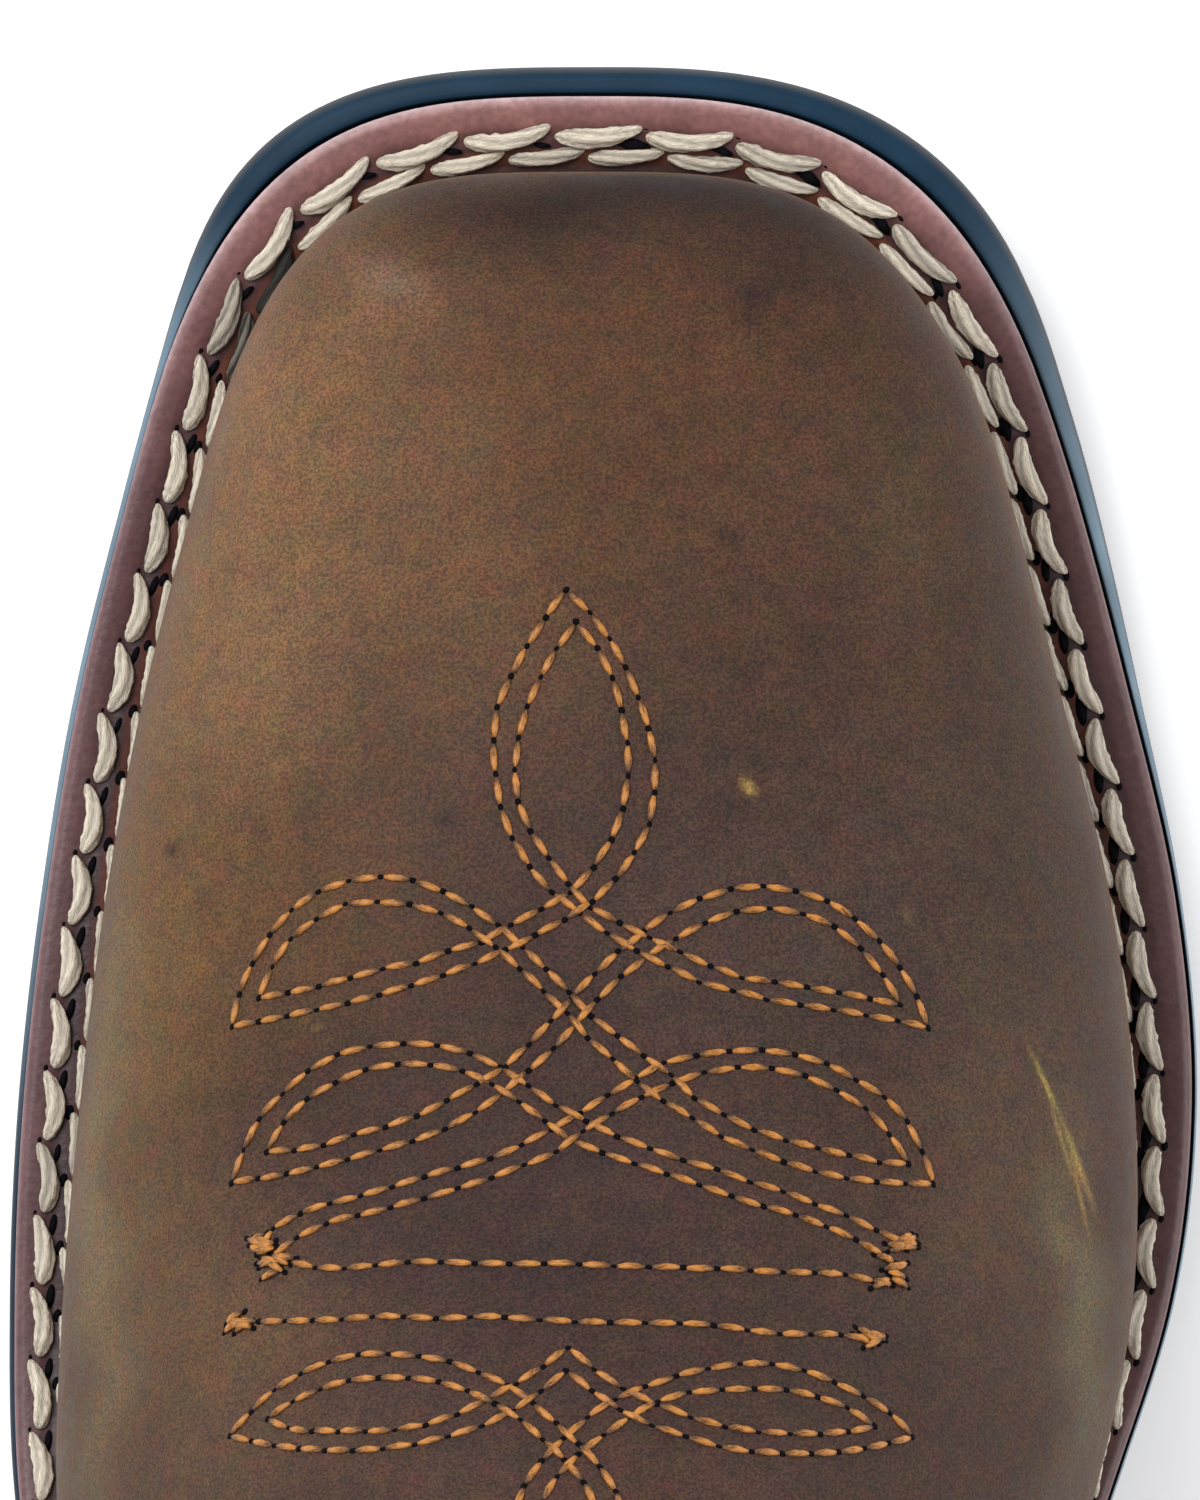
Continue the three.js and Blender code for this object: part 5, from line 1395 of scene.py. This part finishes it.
def makeWeltSlitsAndShadows(rows, material):
    centres, long, wide, normals, halfLong, halfWide = [], [], [], [], [], []
    rng = np.random.default_rng(31)
    for which, (joints, along, inward, up) in rows.items():
        j = joints[1:-1]
        e, side, n = along[1:], inward[1:], up[1:]
        # each joint gets dark lenses: its awl slit and, beside it, the painted shadow that the stitch casts
        spots = [(1.0, -1.0, 1.5, 0.5), (-0.8, 0.1, 0.4, 0.28)] if which == "outer" else [(-0.9, -0.2, 0.95, 0.55)]
        for out, forward, longHalf, wideHalf in spots:
            vary = rng.uniform(0.8, 1.2, len(j)) * np.where(j[:, 0] > 0, 0.7, 1.0)
            centres.append(j + side * out + e * forward + n * 0.02)
            long.append(unit(e + side * 0.1))
            wide.append(side)
            normals.append(n)
            halfLong.append(longHalf * vary)
            halfWide.append(wideHalf * vary)
    parts = (centres, long, wide, normals, halfLong, halfWide)
    lensMesh("welt_awl_slits_and_shadows", *[np.concatenate(part) for part in parts], material)


# needle lines over the picture's pixels, read from enlarged crops; each ends where the line turns a sharp tip
goldLook = {"pitch": 3.15, "halfWide": 0.34, "halfHigh": 0.26, "lift": 0.12, "hole": (0.34, 0.27)}
frontRight = [
    (566, 590), (595, 618), (614, 646), (632, 681), (644, 716), (654, 749), (655, 788), (650, 823), (634, 853),
    (612, 883), (590, 904), (577, 912), (555, 926), (525, 940), (487, 959), (456, 971), (424, 982),
    (358, 1001), (293, 1015), (232, 1027),
]
frontRightInner = [
    (576, 622), (598, 649), (614, 682), (622, 712), (628, 746), (628, 780), (622, 813), (609, 845), (592, 870),
    (570, 893), (542, 909), (514, 923), (489, 940), (452, 950), (419, 963), (383, 969), (322, 986), (259, 998),
]
frontLeft = [
    (566, 590), (545, 619), (523, 653), (508, 683), (494, 718), (495, 754), (497, 789), (506, 825), (523, 857),
    (544, 885), (562, 900), (581, 914), (602, 930), (633, 949), (668, 967), (697, 982), (732, 991),
    (767, 1000), (832, 1010), (898, 1021), (928, 1028),
]
frontLeftInner = [
    (576, 622), (555, 651), (537, 685), (523, 718), (516, 754), (515, 779), (521, 812), (539, 845), (562, 875),
    (583, 903), (616, 921), (646, 936), (680, 952), (710, 966), (741, 978), (775, 982), (840, 993),
    (900, 1005),
]
leftArc = [
    (232, 1027), (239, 996), (253, 963), (272, 932), (293, 909), (322, 890), (353, 880), (383, 877),
    (415, 881), (449, 894), (479, 911), (510, 935), (533, 958), (560, 982), (585, 1011), (615, 1034),
    (641, 1054), (663, 1070), (681, 1082), (695, 1099), (728, 1117), (758, 1132), (790, 1142), (821, 1149),
    (852, 1156), (880, 1163), (908, 1164),
]
leftArcInner = [
    (259, 998), (272, 968), (284, 948), (299, 930), (317, 919), (342, 905), (370, 902), (399, 903), (430, 909),
    (462, 924), (489, 942), (512, 962), (542, 990), (567, 1013), (593, 1044), (623, 1067), (649, 1093),
    (682, 1111), (712, 1132), (745, 1147), (780, 1161), (812, 1171), (843, 1178), (874, 1182), (908, 1184),
    (933, 1184),
]
rightArc = [
    (928, 1028), (918, 999), (900, 968), (882, 944), (860, 923), (833, 904), (805, 894), (776, 887),
    (742, 887), (710, 895), (677, 909), (646, 930), (615, 954), (588, 981), (567, 1003), (539, 1034),
    (514, 1060), (493, 1076), (462, 1092), (437, 1106), (399, 1124), (363, 1132), (322, 1146), (284, 1152),
    (267, 1152),
]
rightArcInner = [
    (900, 1005), (884, 977), (862, 950), (835, 927), (806, 915), (775, 909), (750, 909), (723, 916),
    (691, 930), (663, 947), (633, 966), (608, 989), (589, 1009), (571, 1030), (562, 1041), (538, 1062),
    (508, 1090), (483, 1108), (450, 1127), (421, 1139), (388, 1148), (358, 1157), (322, 1166), (291, 1173),
    (232, 1183),
]
lowRightArc = [
    (933, 1184), (922, 1151), (905, 1118), (885, 1098), (857, 1081), (827, 1064), (796, 1055), (759, 1050),
    (724, 1052), (690, 1057), (658, 1065), (624, 1086), (593, 1104), (569, 1121), (530, 1141), (498, 1156),
    (467, 1166), (439, 1173), (383, 1190), (353, 1198), (322, 1206), (289, 1219), (262, 1238), (258, 1255),
]
lowRightInner = [
    (908, 1164), (891, 1137), (870, 1112), (843, 1094), (814, 1079), (782, 1070), (748, 1067), (715, 1070),
    (682, 1080), (650, 1093), (620, 1110), (593, 1124), (556, 1152), (529, 1163), (495, 1177), (462, 1187),
    (434, 1196), (404, 1204), (371, 1213), (337, 1220), (309, 1232), (284, 1245), (271, 1258),
]
lowLeftArc = [
    (232, 1183), (244, 1149), (258, 1121), (280, 1097), (303, 1075), (332, 1057), (363, 1048), (396, 1044),
    (432, 1045), (465, 1052), (494, 1064), (523, 1082), (553, 1104), (585, 1121), (615, 1136), (648, 1148),
    (681, 1160), (713, 1168), (742, 1180), (773, 1188), (800, 1199), (828, 1209), (857, 1220), (883, 1234),
    (905, 1244),
]
lowLeftInner = [
    (267, 1152), (279, 1129), (302, 1103), (327, 1088), (350, 1075), (378, 1067), (407, 1064), (436, 1066),
    (468, 1073), (491, 1084), (519, 1102), (546, 1122), (569, 1140), (611, 1156), (641, 1166), (675, 1177),
    (707, 1188), (737, 1198), (768, 1208), (798, 1216), (824, 1226), (852, 1238), (884, 1255),
]
barOne = [
    (289, 1262), (322, 1269), (355, 1268), (388, 1264), (421, 1262), (490, 1264), (560, 1264), (630, 1267),
    (702, 1268), (770, 1272), (839, 1274), (875, 1281),
]
barTwo = [
    (234, 1322), (290, 1321), (355, 1319), (390, 1315), (421, 1319), (493, 1317), (564, 1322), (634, 1323),
    (706, 1325), (776, 1334), (840, 1335), (870, 1340),
]
# the second figure runs on under the picture's lower edge, and closes there in a leaf like the front one
backLeft = [
    (568, 1348), (539, 1370), (508, 1389), (480, 1404), (450, 1418), (432, 1424), (399, 1430), (353, 1432),
    (307, 1431), (281, 1426), (268, 1419),
]
backLeftOuter = [
    (566, 1371), (544, 1389), (516, 1409), (488, 1424), (465, 1431), (430, 1442), (385, 1449), (335, 1451),
    (290, 1448), (255, 1442), (230, 1436),
]
backRight = [
    (568, 1348), (592, 1368), (618, 1386), (650, 1402), (688, 1417), (739, 1430), (785, 1434), (831, 1434),
    (857, 1430), (874, 1426),
]
backRightOuter = [
    (566, 1371), (592, 1391), (605, 1401), (622, 1411), (650, 1425), (673, 1432), (708, 1444), (753, 1452),
    (803, 1454), (848, 1451), (885, 1444), (912, 1437),
]
backLeftArc = [
    (230, 1436), (239, 1426), (262, 1401), (286, 1382), (316, 1367), (350, 1356), (382, 1354), (414, 1356),
    (447, 1361), (479, 1373), (513, 1388), (541, 1410), (566, 1432), (590, 1456), (612, 1484), (622, 1516),
    (616, 1550), (597, 1580), (568, 1606),
]
backLeftInner = [
    (268, 1419), (294, 1401), (322, 1389), (353, 1380), (388, 1378), (416, 1379), (452, 1385), (485, 1399),
    (513, 1414), (534, 1432), (558, 1454), (582, 1480), (596, 1512), (592, 1546), (568, 1578),
]
backRightArc = [
    (912, 1437), (907, 1429), (883, 1408), (857, 1393), (822, 1377), (793, 1368), (758, 1363), (726, 1366),
    (689, 1373), (658, 1382), (625, 1395), (595, 1412), (566, 1436), (544, 1458), (524, 1486), (514, 1518),
    (520, 1552), (540, 1582), (568, 1606),
]
backRightInner = [
    (874, 1426), (846, 1407), (817, 1397), (784, 1390), (751, 1389), (720, 1390), (686, 1393), (653, 1404),
    (625, 1420), (600, 1438), (574, 1458), (552, 1484), (540, 1514), (545, 1546), (568, 1578),
]
tacks = [((277, 1267), 12, 9), ((890, 1270), 10, 15), ((868, 1337), 9, 6), ((262, 1244), 6, 8), ((902, 1243), 8, 5),
         ((240, 1323), 7, 5)]


def readVamp(piece):
    mesh = piece.data
    return BVHTree.FromPolygons([v.co.copy() for v in mesh.vertices], [tuple(p.vertices) for p in mesh.polygons])


def onVamp(tree, pixels):
    # where the camera's rays through these pixels meet the vamp, in mm, with the face normals
    points, normals = [], []
    for px, py in pixels:
        origin, direction = cameraRay(px, py)
        hit, normal, _, _ = tree.ray_cast(origin, direction)
        points.append(np.array(hit) / mm - np.array([shift, 0, 0]))
        normals.append(np.array(normal))
    return np.array(points), np.array(normals)


class StitchRun:
    # gathers stitches from many lines, to be joined in one mesh
    def __init__(self, places=9):
        self.lines, self.across, self.normals, self.holes = [], [], [], []
        self.s = np.linspace(0.1, 0.9, places)

    def add(self, joints, normals, lift):
        a, b = joints[:-1], joints[1:]
        normal = unit(normals[:-1] + normals[1:])
        side = unit(np.cross(normal, b - a))
        s = self.s
        arch = np.sin(np.pi * s)
        line = a[:, None] + (b - a)[:, None] * s[None, :, None] + normal[:, None] * (lift * (0.2 + arch))[None, :, None]
        self.lines.append(line)
        self.across.append(np.repeat(side[:, None], len(s), 1))
        self.normals.append(np.repeat(normal[:, None], len(s), 1))
        self.holes.append((joints, unit(np.gradient(joints, axis=0)), unit(normals)))

    def make(self, name, look, material, holeMaterial, seed):
        lines, across, normals = (np.concatenate(part) for part in (self.lines, self.across, self.normals))
        rng = np.random.default_rng(seed)
        k = lines.shape[1]
        s = np.linspace(0, 1, k)
        body = np.sin(np.pi * (0.07 + 0.86 * s)) ** 0.5
        lines = lines + across * rng.normal(0, 0.035, (len(lines), 1, 1))
        # each stitch gets a painted highlight near one end and painted shade at the other, where it sinks
        turn = rng.uniform(0, 1, len(lines))[:, None] < 0.75
        run = np.where(turn, s[None], 1 - s[None])
        shine = np.clip(0.95 * np.exp(-((run - 0.7) / 0.16) ** 2) * rng.uniform(0.55, 1.0, (len(lines), 1)), 0, 1)
        soilAndShade = np.clip(0.75 * np.exp(-(run / 0.3) ** 2) + rng.uniform(0, 0.12, (len(lines), 1)), 0, 1)
        stitchMesh(name, lines, across, normals, look["halfWide"] * body, look["halfHigh"] * body, material,
                   around=10, plies=3, twist=4.0, soilAndShade=soilAndShade, shine=shine, seed=seed)
        centres, long, facing = (np.concatenate([hole[i] for hole in self.holes]) for i in range(3))
        wide = unit(np.cross(facing, long))
        vary = rng.uniform(0.8, 1.25, len(centres))
        lensMesh(name.replace("stitches", "needle_holes"), centres + facing * 0.02, long, wide, facing,
                 look["hole"][0] * vary, look["hole"][1] * vary, holeMaterial, depth=0.09)


def makeOrnament(vampPiece, material, holeMaterial):
    tree = readVamp(vampPiece)
    run = StitchRun()
    lines = [frontRight, frontRightInner, frontLeft, frontLeftInner, leftArc, leftArcInner, rightArc, rightArcInner,
             lowRightArc, lowRightInner, lowLeftArc, lowLeftInner, barOne, barTwo, backLeft, backLeftOuter, backRight,
             backRightOuter, backLeftArc, backLeftInner, backRightArc, backRightInner]
    for line in lines:
        flat = smoothLine(np.array(line, float), spacing=3)
        points, normals = onVamp(tree, flat)
        joints = cutEvenly(points, goldLook["pitch"])
        steps = np.linspace(0, len(normals) - 1, len(joints))
        facing = np.stack([np.interp(steps, np.arange(len(normals)), normals[:, a]) for a in range(3)], -1)
        run.add(joints, facing, goldLook["lift"])
    rng = np.random.default_rng(12)
    for (cx, cy), rx, ry in tacks:
        for _ in range(7):
            x, y = cx + rng.uniform(-rx, rx), cy + rng.uniform(-ry, ry)
            angle = rng.uniform(-0.7, 0.7)
            dx, dy = 11 * math.cos(angle), 11 * math.sin(angle)
            points, normals = onVamp(tree, [(x - dx, y - dy), (x + dx, y + dy)])
            run.add(points, normals, 0.3)
    run.make("ornament_stitches", goldLook, material, holeMaterial, 5)


# seams that hold the boot together
seamLook = {"pitch": 3.1, "halfWide": 0.4, "halfHigh": 0.24, "lift": 0.1, "hole": (0.36, 0.3), "fromEdge": 2.6,
            "apart": 2.4}


def edgeRun(run, u, fromEdge, height):
    # a line of stitches along an overlay's top edge, at a distance below it
    v = overlayReach(u)
    edge = surface(u, v)
    down = unit(surface(u, v - 0.01) - edge)
    p = ontoSurface(edge + down * fromEdge)
    normal = outward(p)
    line = p + normal * height
    joints = cutEvenly(line, seamLook["pitch"])
    facing = outward(ontoSurface(joints))
    run.add(joints, facing, seamLook["lift"])


def makeSeams(material, holeMaterial):
    run = StitchRun(places=7)
    top = boot["overlay"] + gap
    for fromEdge in (seamLook["fromEdge"], seamLook["fromEdge"] + seamLook["apart"]):
        reach = {side: float(vampSeams[side](np.array(1.0))) for side in (1, -1)}
        edgeRun(run, np.linspace(-reach[-1] + 0.012, reach[1] - 0.012, 500), fromEdge, top)
        start, end = float(counterSeams[1](np.array(1.0))), 1 - float(counterSeams[-1](np.array(1.0)))
        edgeRun(run, np.linspace(start + 0.012, end - 0.012, 400), fromEdge, top)
    # rows either side of each side seam's piping
    for side in (1, -1):
        for shiftT in (-5.2, 5.2):
            u, v = seamPlace(side, np.linspace(0.03, 0.955, 160), shiftT)
            p = surface(u, v)
            joints = cutEvenly(p, seamLook["pitch"])
            run.add(joints, outward(ontoSurface(joints)), seamLook["lift"])
    # one row through the binding, outside and inside
    u = np.linspace(0, 1, 700)
    edge = surface(u, collarReach(u))
    up = unit(edge - surface(u, collarReach(u) - 0.004))
    for out in (gap + bindingThick, -boot["wall"] - gap - bindingThick):
        line = edge - up * 5.2 + outward(edge) * out
        joints = cutEvenly(line, seamLook["pitch"])
        run.add(joints, outward(ontoSurface(joints)) * (1 if out > 0 else -1), seamLook["lift"])
    run.make("seam_stitches", seamLook, material, holeMaterial, 8)


leather = waxedLeather("waxed_pull_up_cowhide")
weltLeather = burnishedWelt()
rubber = mouldedRubber("compression_moulded_rubber")
lining = nappedLining()
cream = threadMaterial("waxed_linen_cord_cream", "#fdf1dc", "#85745a", 0.7)
gold = threadMaterial("bonded_polyester_thread_gold", "#d48e44", "#643611", 0.38, fibreMm=0.12, fibreStrength=0.35)
holes = darkHole()

makeOutsole(rubber)
makeHeel(rubber)
makeWelt(weltLeather)
makeInsole(lining)
print("sole, heel, welt and insole are made")
makeUpper(leather, lining)
vamp = makeOverlay("vamp_leather", "vamp", 250, 320, vampColumn, leather)
makeOverlay("counter_leather", "counter", 200, 80, counterColumn, leather)
print("upper, vamp and counter are made")
for side in (1, -1):
    makePiping(side, leather)
    makeStrap(side, leather)
makeBinding(leather)
print("pipings, straps and binding are made")
rows = {which: makeWeltRow(which, cream, seed) for which, seed in (("outer", 3), ("inner", 4))}
makeWeltSlitsAndShadows(rows, holes)
makeOrnament(vamp, gold, holes)
makeSeams(gold, holes)
print("welt rows, ornament and seams are stitched")

# floor and light
studio = {"sky": 0.42, "key": 26, "keySize": 1.1, "keyAt": (0.75, -0.75, 1.5), "side": 3.5, "sideSize": 0.5,
          "sideAt": (-0.9, 0.0, 0.55)}


def addLamp(name, at, power, size, towards=(0, -0.08, 0.02)):
    lamp = bpy.data.objects.new(name, bpy.data.lights.new(name, "AREA"))
    lamp.data.energy, lamp.data.size = power, size
    lamp.location = at
    lamp.rotation_euler = (Vector(at) - Vector(towards)).to_track_quat("Z", "Y").to_euler()
    bpy.context.scene.collection.objects.link(lamp)


floorMaterial, floorTree = newMaterial("matt_white_paper")
paperShader = addNode(floorTree, "ShaderNodeBsdfPrincipled", {"Base Color": linear("#ffffff"), "Roughness": 0.95,
                                                              "Specular IOR Level": 0.1, "Emission Strength": 0.3})
addNode(floorTree, "ShaderNodeOutputMaterial", links={"Surface": paperShader.outputs[0]})
floor = meshFrom("floor", [(-4000, -4000, 0), (4000, -4000, 0), (4000, 4000, 0), (-4000, 4000, 0)], [(0, 1, 2, 3)],
                 materials=(floorMaterial,))
addLamp("key_softbox", studio["keyAt"], studio["key"], studio["keySize"])
addLamp("side_strip", studio["sideAt"], studio["side"], studio["sideSize"])
world = bpy.data.worlds.new("studio")
bpy.context.scene.world = world
world.use_nodes = True
world.node_tree.nodes["Background"].inputs[0].default_value = linear("#f7f9ff")
world.node_tree.nodes["Background"].inputs[1].default_value = studio["sky"]
